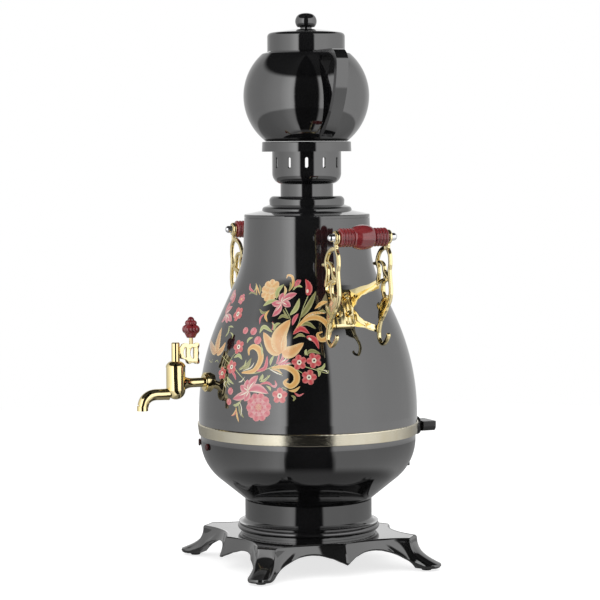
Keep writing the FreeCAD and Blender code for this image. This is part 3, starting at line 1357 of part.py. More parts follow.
def make_handle(side, turn):
    """All pieces of one side handle, turned about the vessel's axis to its side."""
    front, rear = ("front", "rear") if turn == 0 else ("rear", "front")
    title = side.capitalize()
    pieces = [(side + "_%s_bracket" % front, make_bracket(title + "BracketA", -1)),
              (side + "_%s_bracket" % rear, make_bracket(title + "BracketB", 1)),
              (side + "_handle_saddle", make_saddle(title + "Saddle"))]
    for label, body in pieces:
        body.Placement = at(0, 0, 0, (0, 0, 1), turn)
        node(label, body)
    flip = 1 if turn == 0 else -1
    grip = make_grip(title + "Grip")
    node(side + "_grip", place(grip, sz.grip_reach * flip, 0, sz.grip_height))
    rod_half = sz.bracket_place + sz.bracket_thickness / 2 + sz.dome_nut_length - 2.5
    rod = spin(title + "Rod", [(0, -rod_half), (sz.rod_radius, -rod_half), (sz.rod_radius, rod_half), (0, rod_half)],
               "XY_Plane")
    node(side + "_grip_rod", place(rod, sz.grip_reach * flip, 0, sz.grip_height))
    nuts = []
    seat = sz.bracket_place + sz.bracket_thickness / 2 + sz.band_gap
    for end in (-1, 1):
        tip = seat + sz.dome_nut_length
        radius = sz.dome_nut_radius
        bore = sz.rod_radius + sz.shaft_running_gap
        profile = [(bore, seat), (radius + 0.8, seat), (radius + 0.8, seat + 1), (radius, seat + 1),
                   (radius, tip - radius), (0.8, tip, radius), (0, tip),
                   (0, tip - 2), (bore, tip - 2)]
        nut = spin("%sDomeNut%d" % (title, end + 2), profile, "XY_Plane")
        nut.Placement = at(sz.grip_reach * flip, 0, sz.grip_height, (1, 0, 0), 0 if end > 0 else 180)
        bind(nut, "Placement.Base.x", sz.grip_reach * flip)
        bind(nut, "Placement.Base.z", sz.grip_height)
        nuts.append(nut)
    group(side + "_dome_nuts", nuts)
    screws, inner_nuts = [], []
    length = sz.saddle_rise + wall + sz.handle_nut_height + 2
    for level in (sz.handle_screw_low, sz.handle_screw_high):
        for y in (-1, 1):
            key = "%s%d%d" % (title, level.number, y + 2)
            reach, height = along_wall(level, sz.saddle_rise)
            fastener = screw("Screw" + key, sz.handle_screw_radius, sz.handle_screw_head, length)
            nut = hex_nut("WallNut" + key, sz.handle_nut_flats, sz.handle_screw_radius + sz.shaft_running_gap,
                          sz.handle_nut_height)
            nut_reach, nut_height = along_wall(level, -(wall + sz.handle_nut_height + 2 * sz.lid_gap))
            for piece, x, z, row in ((fastener, reach, height, screws), (nut, nut_reach, nut_height, inner_nuts)):
                place(piece, x * flip, sz.handle_screw_side * y, z, (0, 1, 0), (90 - SLOPE) * flip)
                row.append(piece)
    group(side + "_handle_screws", screws)
    group(side + "_handle_nuts", inner_nuts)


make_handle("right", 0)
make_handle("left", 180)

# Main lid with its seal

lid_seat = sz.vessel_top + sz.lid_gap
lip_radius = sz.mouth_radius - sz.mouth_inset
CROWN_SCREWS = 3
SLOT_TURN = 6.7


def crown_holes(body, name, height, depth, radius):
    hole = draw_circle(sketch_on(body, name, "XY_Plane", height), sz.crown_screw_place, 0, radius)
    cut = extrude(body, hole, depth, cut=True)
    return turn_copies(body, [cut], CROWN_SCREWS)


def make_lid():
    top, crest = sz.lid_top_height, sz.lid_crest_height
    spigot = sz.spigot_radius
    body = spin("Lid", [
        (sz.steam_hole_radius, top - wall), (sz.lid_top_radius - 1, top - wall),
        (sz.lid_crest_radius - wall, top - 4), (sz.lid_crest_radius - wall, crest - wall),
        (sz.lid_step_radius - 4.5, crest - 3.5), (sz.lid_step_radius - wall, sz.lid_step_height - wall),
        (spigot - wall, lid_seat + sz.lid_lip_height - wall), (spigot - wall, lid_seat - sz.spigot_depth),
        (spigot, lid_seat - sz.spigot_depth), (spigot, lid_seat), (lip_radius, lid_seat),
        (lip_radius, lid_seat + sz.lid_lip_height - 1.5), (lip_radius - 1.5, lid_seat + sz.lid_lip_height, 1.5),
        (sz.lid_step_radius + 0.2, sz.lid_step_height - 0.6), (sz.lid_step_radius, sz.lid_step_height + 0.6),
        (sz.lid_step_radius - 3, crest - 2, 4), (sz.lid_crest_radius, crest),
        (sz.lid_crest_radius + 0.3, top - 5), (sz.lid_top_radius, top, 6), (sz.steam_hole_radius, top)])
    crown_holes(body, "LidScrewHole", top, 2 * wall, sz.handle_screw_radius + sz.band_gap)
    return body


node("lid", make_lid())
seal_bottom = lid_seat - sz.spigot_depth / 2
seal_in = sz.spigot_radius + sz.band_gap
node("lid_seal", spin("LidSeal", [(seal_in, seal_bottom), (seal_in + sz.seal_width, seal_bottom + 0.6),
                                  (seal_in + sz.seal_width, seal_bottom + sz.seal_height - 0.6),
                                  (seal_in, seal_bottom + sz.seal_height)]))

# Crown with steam slots, and the stand that the teapot rests on

cup_swing = swing(sz.crown_cup_height - sz.crown_stem_top, sz.crown_cup_radius - sz.crown_stem_radius)


def make_crown():
    stem, cup = sz.crown_stem_radius, sz.crown_cup_radius
    foot = sz.lid_top_height
    inner_foot = stem - sz.crown_foot_width + wall
    body = spin("Crown", [
        (inner_foot, foot), (stem, foot), (stem, sz.crown_stem_top), (cup, sz.crown_cup_height, cup_swing),
        (cup, sz.crown_top), (cup - wall, sz.crown_top), (cup - wall, sz.crown_cup_height),
        (stem - wall, sz.crown_stem_top + wall, -cup_swing), (stem - wall, foot + wall), (inner_foot, foot + wall)])
    slot = sketch_on(body, "SteamSlot", "XZ_Plane", 0, FreeCAD.Rotation(FreeCAD.Vector(0, 1, 0), SLOT_TURN))
    half_tall = (sz.slot_top - sz.slot_bottom) / 2
    stadium(slot, as_size(0), sz.slot_bottom + half_tall, sz.slot_width / 2, half_tall)
    cut = extrude(body, slot, 2 * cup, cut=True, reverse=True)
    turn_copies(body, [cut], sz.slot_count)
    crown_holes(body, "CrownScrewHole", foot + wall, 2 * wall, sz.handle_screw_radius + sz.band_gap)
    return body


node("crown", make_crown())
crown_screws, crown_nuts = [], []
for number in range(CROWN_SCREWS):
    angle = math.radians(FULL_TURN / CROWN_SCREWS * number)
    spot = sz.crown_screw_place
    fastener = screw("CrownScrew%d" % number, sz.handle_screw_radius, sz.handle_screw_head * 0.85, 2 * wall + 4)
    nut = hex_nut("CrownNut%d" % number, sz.handle_nut_flats, sz.handle_screw_radius + sz.shaft_running_gap,
                  sz.handle_nut_height)
    x, y = spot * math.cos(angle), spot * math.sin(angle)
    crown_screws.append(place(fastener, x, y, sz.lid_top_height + wall))
    crown_nuts.append(place(nut, x, y, sz.lid_top_height - wall - sz.handle_nut_height))
group("crown_screws", crown_screws)
group("crown_nuts", crown_nuts)

spigot_out = sz.crown_cup_radius - wall - 0.3
node("teapot_stand", spin("TeapotStand", [
    (spigot_out - wall, sz.crown_top - sz.stand_spigot_depth), (spigot_out, sz.crown_top - sz.stand_spigot_depth),
    (spigot_out, sz.stand_bottom), (sz.stand_radius, sz.stand_bottom), (sz.stand_radius - 0.4, sz.stand_top - 1),
    (sz.stand_radius - 1.4, sz.stand_top, 1), (sz.stand_hole_radius, sz.stand_top),
    (sz.stand_hole_radius, sz.stand_top - wall), (sz.stand_radius - 2 * wall, sz.stand_top - wall),
    (sz.stand_radius - 2 * wall, sz.stand_bottom + wall), (spigot_out - wall, sz.stand_bottom + wall)]))

# Teapot: one fired piece with spout and handle

pot_base = sz.stand_top + sz.teapot_gap
upper_swing = swing(sz.teapot_shoulder_height - sz.teapot_belly_height, sz.teapot_radius - sz.teapot_shoulder_radius)
lower_swing = swing(sz.teapot_belly_height - pot_base, sz.teapot_radius - sz.teapot_base_radius)
SPOUT_RINGS = ((56, 508, 14.5, 50), (84, 527, 10.5, 42), (99, 550, 7.8, 22), (111, 572, 6.4, 35))


def spout_sections(body, prefix, thinner):
    """Circles across the spout from the belly to the lip."""
    rings = []
    for number, (reach, height, radius, lean) in enumerate(SPOUT_RINGS):
        plane = [f for f in body.Origin.OriginFeatures if f.Role == "XY_Plane"][0]
        ring = body.newObject("Sketcher::SketchObject", "%s%d" % (prefix, number))
        ring.AttachmentSupport = [(plane, "")]
        ring.MapMode = "FlatFace"
        ring.AttachmentOffset = at(-reach, 0, height, (0, 1, 0), -lean)
        rings.append(draw_circle(ring, 0, 0, as_size(radius) - thinner))
    return rings


def make_teapot():
    wall_gap = sz.teapot_wall
    inner = sz.teapot_radius - wall_gap
    neck_out = sz.teapot_neck_radius
    neck_in = neck_out - wall_gap
    shoulder = sz.teapot_shoulder_height
    body = spin("Teapot", [
        (0, pot_base), (sz.teapot_base_radius, pot_base), (sz.teapot_radius, sz.teapot_belly_height, lower_swing),
        (sz.teapot_shoulder_radius, shoulder, upper_swing), (sz.teapot_shoulder_radius - 5, shoulder + 1.8),
        (neck_out, shoulder + 1.8), (neck_out, sz.teapot_neck_top), (0, sz.teapot_neck_top)])
    loft(body, spout_sections(body, "SpoutRing", as_size(0)))
    path = sketch_on(body, "HandleLine", "XZ_Plane")
    bend, reach, top = sz.pot_handle_bend, sz.pot_handle_reach, sz.pot_handle_top
    centre_reach = reach - sz.pot_handle_thickness / 2
    fall = top - bend - sz.pot_handle_root_height
    root = centre_reach - sz.pot_handle_root_reach
    start = sz.teapot_shoulder_radius - 6
    level = top - sz.pot_handle_thickness / 2
    draw(path, [(start, level), (centre_reach - bend, level), (centre_reach, level - bend, -bend),
                (sz.pot_handle_root_reach, sz.pot_handle_root_height, -swing(fall - sz.pot_handle_thickness / 2, root)),
                (sz.pot_handle_root_reach - 8, sz.pot_handle_root_height - 5)], closed=False)
    strap = sketch_on(body, "HandleStrap", "YZ_Plane", start)
    half_width, half_thick = sz.pot_handle_width / 2, sz.pot_handle_thickness / 2
    draw_box(strap, -half_width, level - half_thick, half_width, level + half_thick)
    sweep(body, strap, path)
    hollow = draw(sketch_on(body, "Hollow", "XZ_Plane"), [
        (0, pot_base + wall_gap), (sz.teapot_base_radius - 1, pot_base + wall_gap),
        (inner, sz.teapot_belly_height, swing(sz.teapot_belly_height - pot_base - wall_gap,
                                              inner - sz.teapot_base_radius + 1)),
        (neck_in, shoulder, swing(shoulder - sz.teapot_belly_height, inner - neck_in)),
        (neck_in, sz.teapot_neck_top), (0, sz.teapot_neck_top)])
    revolve(body, hollow, cut=True)
    loft(body, spout_sections(body, "SpoutBore", sz.spout_wall), cut=True)
    return body


node("teapot", make_teapot())


def make_pot_lid():
    out, gap = sz.pot_lid_radius, sz.pot_lid_wall
    inner = out - gap
    top, shoulder = sz.pot_lid_top, sz.pot_lid_shoulder
    knob, neck_r = sz.pot_knob_radius, sz.pot_knob_neck
    ball = (sz.pot_knob_top + top) / 2 + 0.6
    bottom = sz.pot_lid_bottom
    return spin("PotLid", [
        (inner, bottom), (out, bottom), (out, shoulder), (out - 4, shoulder + 4.5, 4.6),
        (neck_r, top, 400), (neck_r, top + 1), (knob - 2.5, top + 1.6), (knob, ball, 9.5),
        (knob * 0.66, sz.pot_knob_top - 1.6, 9.5), (2, sz.pot_knob_top, 14), (0, sz.pot_knob_top), (0, top - gap),
        (inner - 4, shoulder + 1.6), (inner, shoulder - 2.5)])


node("teapot_lid", make_pot_lid())

doc.recompute()

# Every object has to be sound before anything is written
for thing in doc.Objects:
    if "Invalid" in thing.State or "Error" in thing.State:
        raise RuntimeError("%s failed: %s" % (thing.Name, thing.State))
for thing in parts:
    if thing.Shape.isNull() or not thing.Shape.isValid() or not thing.Shape.Solids:
        raise RuntimeError("%s has no sound shape" % thing.Label)

os.makedirs("parts", exist_ok=True)
for thing in parts:
    thing.Shape.exportStep("parts/%s.step" % thing.Label)
    print("%-22s %2d solid(s) %12.1f mm3" % (thing.Label, len(thing.Shape.Solids), thing.Shape.Volume))
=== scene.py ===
import json
import math

import bmesh
import bpy
from mathutils import Matrix, Vector


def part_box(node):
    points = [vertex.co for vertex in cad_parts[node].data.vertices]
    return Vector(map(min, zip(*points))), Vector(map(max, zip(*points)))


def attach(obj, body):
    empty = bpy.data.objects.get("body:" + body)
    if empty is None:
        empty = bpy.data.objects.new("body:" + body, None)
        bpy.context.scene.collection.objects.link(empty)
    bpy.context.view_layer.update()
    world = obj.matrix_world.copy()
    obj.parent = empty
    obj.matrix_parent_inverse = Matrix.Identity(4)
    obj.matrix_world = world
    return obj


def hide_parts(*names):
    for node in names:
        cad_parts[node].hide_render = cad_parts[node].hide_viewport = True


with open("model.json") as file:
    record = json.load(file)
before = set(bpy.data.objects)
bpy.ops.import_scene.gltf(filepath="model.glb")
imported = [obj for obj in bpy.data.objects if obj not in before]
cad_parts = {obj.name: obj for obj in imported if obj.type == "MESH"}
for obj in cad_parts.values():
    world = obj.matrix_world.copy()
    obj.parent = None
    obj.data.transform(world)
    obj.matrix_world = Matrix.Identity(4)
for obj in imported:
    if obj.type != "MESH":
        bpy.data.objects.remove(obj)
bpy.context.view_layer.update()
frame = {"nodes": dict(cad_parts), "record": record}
nodes = frame["nodes"]
scene = bpy.context.scene
scene.view_settings.view_transform = "Standard"

MM = 0.001
FULL = 2 * math.pi

# Camera: a long lens, a little above the middle of the samovar, looking slightly down

CAMERA_TURN = math.radians(66.70)
CAMERA_DISTANCE = 2.5399
CAMERA_HEIGHT = 0.4697
CAMERA_PITCH = math.radians(3.862)
CAMERA_ROLL = math.radians(-0.314)
CAMERA_SIDE_STEP = -0.008324
CAMERA_LENS = 135.4


def place_camera():
    side = Vector((math.cos(CAMERA_TURN), math.sin(CAMERA_TURN), 0))
    ahead = Vector((-math.sin(CAMERA_TURN), math.cos(CAMERA_TURN), 0))
    up = Vector((0, 0, 1))
    spot = -ahead * CAMERA_DISTANCE + up * CAMERA_HEIGHT + side * CAMERA_SIDE_STEP
    look = ahead * math.cos(CAMERA_PITCH) - up * math.sin(CAMERA_PITCH)
    top = up * math.cos(CAMERA_PITCH) + ahead * math.sin(CAMERA_PITCH)
    right = side * math.cos(CAMERA_ROLL) + top * math.sin(CAMERA_ROLL)
    top = top * math.cos(CAMERA_ROLL) - side * math.sin(CAMERA_ROLL)
    lens = bpy.data.cameras.new("camera")
    lens.lens = CAMERA_LENS
    lens.sensor_width = 36
    lens.clip_start = 0.05
    lens.clip_end = 60
    camera = bpy.data.objects.new("camera", lens)
    scene.collection.objects.link(camera)
    turn = Matrix((right, top, -look)).transposed()
    camera.matrix_world = Matrix.Translation(spot) @ turn.to_4x4()
    scene.camera = camera


place_camera()

# Node helpers


class Shader:
    """A node tree with short calls."""

    def __init__(self, tree):
        self.tree = tree
        self.tree.nodes.clear()

    def node(self, kind, **settings):
        made = self.tree.nodes.new(kind)
        for name, value in settings.items():
            setattr(made, name, value)
        return made

    def link(self, source, target):
        self.tree.links.new(source, target)

    def feed(self, socket, value):
        if hasattr(value, "is_linked"):
            self.link(value, socket)
        else:
            socket.default_value = value

    def math(self, operation, first, second=0.0):
        made = self.node("ShaderNodeMath", operation=operation)
        self.feed(made.inputs[0], first)
        self.feed(made.inputs[1], second)
        return made.outputs[0]

    def dot(self, vector, direction):
        made = self.node("ShaderNodeVectorMath", operation="DOT_PRODUCT")
        self.feed(made.inputs[0], vector)
        made.inputs[1].default_value = direction
        return made.outputs["Value"]

    def spread(self, value, low, high, to_low=0.0, to_high=1.0):
        made = self.node("ShaderNodeMapRange", interpolation_type="SMOOTHSTEP")
        self.feed(made.inputs["Value"], value)
        made.inputs["From Min"].default_value = low
        made.inputs["From Max"].default_value = high
        made.inputs["To Min"].default_value = to_low
        made.inputs["To Max"].default_value = to_high
        return made.outputs["Result"]

    def ramp(self, value, stops):
        made = self.node("ShaderNodeValToRGB")
        band = made.color_ramp
        while len(band.elements) < len(stops):
            band.elements.new(0.5)
        for element, (spot, colour) in zip(band.elements, stops):
            element.position = spot
            element.color = tuple(colour) + (1,) if len(colour) == 3 else tuple(colour)
        self.feed(made.inputs["Fac"], value)
        return made.outputs["Color"]

    def noise(self, scale, detail=3.0, stretch=(1, 1, 1), roughness=0.5):
        place = self.node("ShaderNodeTexCoord")
        mapping = self.node("ShaderNodeMapping")
        mapping.inputs["Scale"].default_value = stretch
        self.link(place.outputs["Object"], mapping.inputs["Vector"])
        made = self.node("ShaderNodeTexNoise")
        made.inputs["Scale"].default_value = scale
        made.inputs["Detail"].default_value = detail
        made.inputs["Roughness"].default_value = roughness
        self.link(mapping.outputs["Vector"], made.inputs["Vector"])
        return made.outputs["Fac"]

    def bump(self, height, strength, distance):
        made = self.node("ShaderNodeBump")
        made.inputs["Strength"].default_value = strength
        made.inputs["Distance"].default_value = distance
        self.link(height, made.inputs["Height"])
        return made.outputs["Normal"]

    def principled(self, **sockets):
        made = self.node("ShaderNodeBsdfPrincipled")
        for name, value in sockets.items():
            self.feed(made.inputs[name.replace("_", " ")], value)
        out = self.node("ShaderNodeOutputMaterial")
        self.link(made.outputs["BSDF"], out.inputs["Surface"])
        return made


def new_material(name):
    material = bpy.data.materials.new(name)
    material.use_nodes = True
    return material, Shader(material.node_tree)


# Finishes

def glossy_black(name, tint, rough=0.045, ripple=0.02):
    """Black enamel or glaze: deep colour under a clear coat, with the faint ripple of a fired surface."""
    material, shade = new_material(name)
    cloud = shade.noise(14, 4)
    low, high = [c * 0.7 for c in tint], [c * 1.5 for c in tint]
    colour = shade.ramp(cloud, ((0.35, low), (0.65, high)))
    haze = shade.spread(shade.noise(40, 5), 0.3, 0.75, rough * 0.7, rough * 1.8)
    ripples = shade.bump(shade.noise(55, 2), ripple, 0.0006)
    shade.principled(Base_Color=colour, Roughness=haze, Normal=ripples, Specular_IOR_Level=0.85,
                     Coat_Weight=1.0, Coat_Roughness=0.02, Coat_IOR=1.6)
    return material


def polished_metal(name, colour, shadow, rough=0.12, stretch=(1, 1, 1), ripple=0.08, scale=90):
    """Polished metal with slight tarnish clouds and soft polishing marks."""
    material, shade = new_material(name)
    tarnish = shade.ramp(shade.noise(scale * 0.4, 5), ((0.3, shadow), (0.6, colour)))
    marks = shade.noise(scale * 3, 3, stretch)
    haze = shade.spread(marks, 0.3, 0.75, rough * 0.7, rough * 1.6)
    dents = shade.bump(shade.noise(scale, 2, stretch), ripple, 0.0004)
    shade.principled(Base_Color=tarnish, Metallic=1.0, Roughness=haze, Normal=dents)
    return material


def lacquered_wood(name):
    """Dark red lacquer over turned wood: the grain runs along the grip."""
    material, shade = new_material(name)
    grain = shade.noise(60, 6, (3.0, 0.35, 3.0), 0.6)
    colour = shade.ramp(grain, ((0.3, (0.14, 0.012, 0.016)), (0.5, (0.24, 0.022, 0.027)),
                                (0.72, (0.33, 0.036, 0.036))))
    haze = shade.spread(grain, 0.3, 0.8, 0.12, 0.3)
    pores = shade.bump(grain, 0.08, 0.0003)
    shade.principled(Base_Color=colour, Roughness=haze, Normal=pores, Specular_IOR_Level=0.6, Coat_Weight=0.8,
                     Coat_Roughness=0.05)
    return material


def moulded(name, colour, rough, grain=0.1, scale=400):
    """Moulded plastic or rubber with a fine grain."""
    material, shade = new_material(name)
    cloud = shade.noise(scale * 0.1, 3)
    tone = shade.ramp(cloud, ((0.3, [c * 0.8 for c in colour]), (0.7, [c * 1.25 for c in colour])))
    haze = shade.spread(shade.noise(scale * 0.3, 3), 0.3, 0.7, rough * 0.85, rough * 1.2)
    skin = shade.bump(shade.noise(scale, 2), grain, 0.0002)
    shade.principled(Base_Color=tone, Roughness=haze, Normal=skin)
    return material


FINISHES = {
    "enamel": glossy_black("black_enamel", (0.006, 0.006, 0.0065)),
    "casting": glossy_black("black_casting", (0.007, 0.007, 0.007), 0.07, 0.06),
    "glaze": glossy_black("black_glaze", (0.006, 0.006, 0.0065), 0.04, 0.025),
    "band": polished_metal("pale_gold", (0.93, 0.87, 0.70), (0.87, 0.79, 0.59), 0.16, (1, 1, 6)),
    "brass": polished_metal("polished_brass", (0.97, 0.83, 0.47), (0.90, 0.74, 0.37), 0.08),
    "chrome": polished_metal("chrome_plate", (0.82, 0.83, 0.85), (0.74, 0.75, 0.77), 0.05),
    "steel": polished_metal("plain_steel", (0.60, 0.60, 0.61), (0.46, 0.46, 0.47), 0.28, (1, 1, 4)),
    "heater": polished_metal("heater_sheath", (0.42, 0.40, 0.37), (0.27, 0.25, 0.23), 0.35),
    "wood": lacquered_wood("red_lacquer"),
    "plastic": moulded("black_plastic", (0.012, 0.012, 0.012), 0.22),
    "rubber": moulded("black_rubber", (0.02, 0.02, 0.02), 0.7, 0.3),
    "lens": moulded("dark_red_lens", (0.05, 0.004, 0.004), 0.12, 0.02),
}

SLOT_FINISH = {
    "cast_black": "casting", "rubber_black": "rubber", "enamel_black": "enamel", "band_gold": "band",
    "steel": "steel", "heater_steel": "heater", "brass": "brass", "plastic_black": "plastic",
    "pin_brass": "brass", "lens_dark": "lens", "red_wood": "wood", "chrome": "chrome",
    "teapot_black": "glaze",
}
NODE_SLOT = {part["node"]: part["material_slot"] for part in frame["record"]["subparts"]}

for name, thing in nodes.items():
    finish = FINISHES[SLOT_FINISH[NODE_SLOT[name]]]
    thing.data.materials.clear()
    thing.data.materials.append(finish)

# Own pieces

def finished_piece(name, mesh, finish, body, slot, *replaced):
    """Hang a finished mesh on its body, in place of the named nodes."""
    data = bpy.data.meshes.new(name)
    mesh.to_mesh(data)
    mesh.free()
    data.materials.append(finish)
    piece = bpy.data.objects.new(name, data)
    scene.collection.objects.link(piece)
    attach(piece, body)
    if replaced:
        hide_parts(*replaced)
    return piece


def smooth_faces(mesh, sharp=None):
    for face in mesh.faces:
        face.smooth = True
    if sharp:
        for edge in mesh.edges:
            edge.smooth = len(edge.link_faces) != 2 or edge.calc_face_angle() < math.radians(sharp)


def turned(mesh, profile, centre, axis, steps=96):
    """Spin a profile of (radius, place along the axis) round an axis through the centre."""
    across = Vector((0, 0, 1)) if abs(axis.z) < 0.5 else Vector((1, 0, 0))
    verts = [mesh.verts.new(centre + across * r + axis * s) for r, s in profile]
    edges = [mesh.edges.new(pair) for pair in zip(verts, verts[1:])]
    bmesh.ops.spin(mesh, geom=verts + edges, cent=centre, axis=axis, angle=FULL, steps=steps,
                   use_merge=True, use_duplicate=False)


def sight(x, y):
    """Start and direction of the look through a point of the 600 x 600 view, in millimetres."""
    turn = scene.camera.matrix_world.to_3x3()
    start = scene.camera.matrix_world.translation / MM
    return start, (turn @ Vector((x - 300, 300 - y, -CAMERA_LENS / 36 * 600))).normalized()


def vessel_radius(z):
    """Outer radius of the vessel's wall at a height, both in millimetres."""
    if z < 170:
        return 123.5
    if z < 280:
        swing = (24 ** 2 + 110 ** 2) / 48
        return 123.5 - swing + math.sqrt(swing ** 2 - (z - 170) ** 2)
    if z < 319:
        return 99.5 - 17.9 * (z - 280) / 39
    if z < 365:
        swing = (10 ** 2 + 46 ** 2) / 20
        return 71.6 + swing - math.sqrt(swing ** 2 - (365 - z) ** 2)
    return 71.6 - (z - 365) / 26.5


def smooth_line(points, count):
    """Points along a smooth curve through the given ones."""
    chain = [points[0] * 2 - points[1]] + points + [points[-1] * 2 - points[-2]]
    line = []
    for i in range(count + 1):
        t = i / count * (len(points) - 1)
        k = min(int(t), len(points) - 2)
        t -= k
        a, b, c, d = chain[k:k + 4]
        line.append(0.5 * ((b * 2) + (c - a) * t + (a * 2 - b * 5 + c * 4 - d) * t * t
                           + (b * 3 - a - c * 3 + d) * t * t * t))
    return line


# Handles: cast scroll brackets, hub plates and turned grips

BRACKET_PLACE = 30.4
BRACKET_HALF = 2.0
GRIP_REACH, GRIP_HEIGHT = 148, 374
HUB_LOW, HUB_TOP, HUB_HALF = 275, 314.5, 12
HANDLE_VIEW_LEFT, HANDLE_VIEW_TOP, HANDLE_VIEW_SCALE = 300, 200, 8.235
STRAND_HALF_SHARE = 0.56
SQUARENESS = 0.42


def bracket_point(x, y):
    """A point of the rear bracket's plane under a point of the enlarged view of the handle."""
    start, ray = sight(HANDLE_VIEW_LEFT + x / HANDLE_VIEW_SCALE, HANDLE_VIEW_TOP + y / HANDLE_VIEW_SCALE)
    spot = start + ray * ((BRACKET_PLACE - start.y) / ray.y)
    return Vector((spot.x, BRACKET_PLACE, spot.z))


def cast_strand(mesh, points, widths, rows=28, columns=16, half=BRACKET_HALF):
    """A rounded bar along points of the bracket's plane, its width following the given values."""
    spine = smooth_line([bracket_point(x, y) for x, y in points], rows)
    grid = bmesh.ops.create_grid(mesh, x_segments=rows, y_segments=columns, size=1)
    for vert in grid["verts"]:
        along = round((vert.co.x + 1) / 2 * rows)
        turn = (vert.co.y + 1) * math.pi
        ahead = (spine[min(along + 1, rows)] - spine[max(along - 1, 0)]).normalized()
        side = Vector((-ahead.z, 0, ahead.x))
        place = along / rows * (len(widths) - 1)
        step = min(int(place), len(widths) - 2)
        wide = (widths[step] + (widths[step + 1] - widths[step]) * (place - step)) * STRAND_HALF_SHARE
        end = min(1, 0.25 + 0.37 * min(along, rows - along))
        bulge_x = math.copysign(abs(math.cos(turn)) ** SQUARENESS, math.cos(turn))
        bulge_y = math.copysign(abs(math.sin(turn)) ** SQUARENESS, math.sin(turn))
        vert.co = spine[along] + side * (wide * bulge_x * end) + Vector((0, half * bulge_y * end, 0))


# Each strand: points of the enlarged view, widths along it, and rows of faces
STRANDS = (
    (((728, 345), (724, 395), (740, 450), (744, 520), (738, 580), (740, 640), (746, 700), (748, 760),
      (738, 830), (704, 900), (672, 970), (656, 1040), (650, 1100), (656, 1150), (682, 1186), (706, 1166),
      (728, 1122), (722, 1098)),
     (4.5, 4.0, 3.6, 3.6, 3.8, 4.4, 3.6, 3.8, 4.4, 5.0, 4.4, 3.6, 3.4, 3.2, 3.2, 3.2, 3.4, 3.8), 90),
    (((724, 392), (690, 396), (660, 425), (641, 480), (640, 520), (652, 570), (650, 620), (642, 670),
      (640, 716)), (4.0, 4.2, 3.6, 3.8, 4.6, 3.4, 3.6, 4.4, 5.0), 40),
    (((650, 512), (624, 522), (603, 516)), (5.0, 3.6, 1.4), 10),
    (((640, 508), (668, 510), (690, 538), (698, 590), (716, 625), (735, 645)),
     (3.0, 3.2, 3.6, 4.4, 4.0, 4.0), 28),
    (((700, 585), (700, 618), (706, 650)), (3.8, 3.4, 2.6), 10),
    (((728, 652), (702, 664), (686, 695), (686, 750), (698, 800), (716, 842)),
     (4.0, 3.4, 3.2, 3.4, 3.8, 4.4), 30),
    (((652, 690), (664, 670), (690, 655), (728, 650)), (3.4, 2.6, 2.6, 3.0), 12),
    (((738, 800), (700, 862), (676, 930), (662, 1000)), (8.0, 15.0, 13.0, 6.0), 26),
    (((672, 900), (652, 872), (646, 842)), (7.0, 5.4, 2.0), 10),
)


def arm_spot(z, along):
    """A point of the arm's middle surface between the hub's edge and the bracket's plane."""
    root = math.sqrt((vessel_radius(z) + 3.6) ** 2 - HUB_HALF ** 2)
    ease = along + 0.12 * math.sin(math.pi * along)
    return Vector((root + (124 - root) * ease, HUB_HALF + (BRACKET_PLACE - HUB_HALF) * along, z))


def between(stops, place):
    for (low, a), (high, b) in zip(stops, stops[1:]):
        if place <= high:
            share = (place - low) / (high - low)
            share = share * share * (3 - 2 * share) * 0.5 + share * 0.5
            return a + (b - a) * share
    return stops[-1][1]


UPPER_ARM = (((0, 294.5), (0.1, 298), (0.2, 304), (0.4, 309.5), (0.7, 313.5), (1, 317)),
             ((0, 314), (0.5, 320), (1, 327)))
LOWER_ARM = (((0, 275), (0.3, 274.5), (0.55, 272), (1, 269)),
             ((0, 294.5), (0.1, 291), (0.2, 285.5), (0.4, 281.5), (0.75, 278), (1, 277)))


def cast_arm(mesh, edges):
    bottom, top = edges
    rows, columns = 26, 8
    grid = bmesh.ops.create_grid(mesh, x_segments=rows, y_segments=columns, size=1)
    for vert in grid["verts"]:
        along, rise = (vert.co.x + 1) / 2, (vert.co.y + 1) / 2
        low, high = between(bottom, along), between(top, along)
        crown = 0.6 * (1 - (2 * rise - 1) ** 2)
        spot = arm_spot(low + (high - low) * rise, along)
        vert.co = spot + Vector((crown * 0.7, -crown * 0.7, 0))
    faces = list({face for vert in grid["verts"] for face in vert.link_faces})
    bmesh.ops.recalc_face_normals(mesh, faces=faces)
    bmesh.ops.solidify(mesh, geom=faces, thickness=2.2)


def put_side(mesh, side, hand):
    """Move the shape made for the right rear to its own side, in metres."""
    bmesh.ops.scale(mesh, verts=mesh.verts, vec=(side * MM, hand * MM, MM))
    bmesh.ops.remove_doubles(mesh, verts=mesh.verts, dist=0.00002)
    bmesh.ops.recalc_face_normals(mesh, faces=mesh.faces)


EYE_PROFILE = ((2.75, -1.7), (3.6, -2.0), (6.6, -2.0), (7.6, -1.5), (8.0, 0), (7.6, 1.5), (6.9, 2.0),
               (6.2, 1.3), (3.9, 1.3), (3.4, 2.0), (2.75, 1.7), (2.75, -1.7))


def make_bracket(side, hand):
    """One scroll bracket: strands, the grip's eye and the two arms to the hub."""
    mesh = bmesh.new()
    for points, widths, rows in STRANDS:
        cast_strand(mesh, points, widths, rows)
    eye = Vector((GRIP_REACH, BRACKET_PLACE, GRIP_HEIGHT))
    turned(mesh, EYE_PROFILE, eye, Vector((0, 1, 0)), 40)
    cast_arm(mesh, UPPER_ARM)
    cast_arm(mesh, LOWER_ARM)
    put_side(mesh, side, hand)
    smooth_faces(mesh, 50)
    name = ("right" if side > 0 else "left") + ("_rear" if hand > 0 else "_front")
    finished_piece(name + "_scroll", mesh, FINISHES["brass"], "stand", "brass", name + "_bracket")


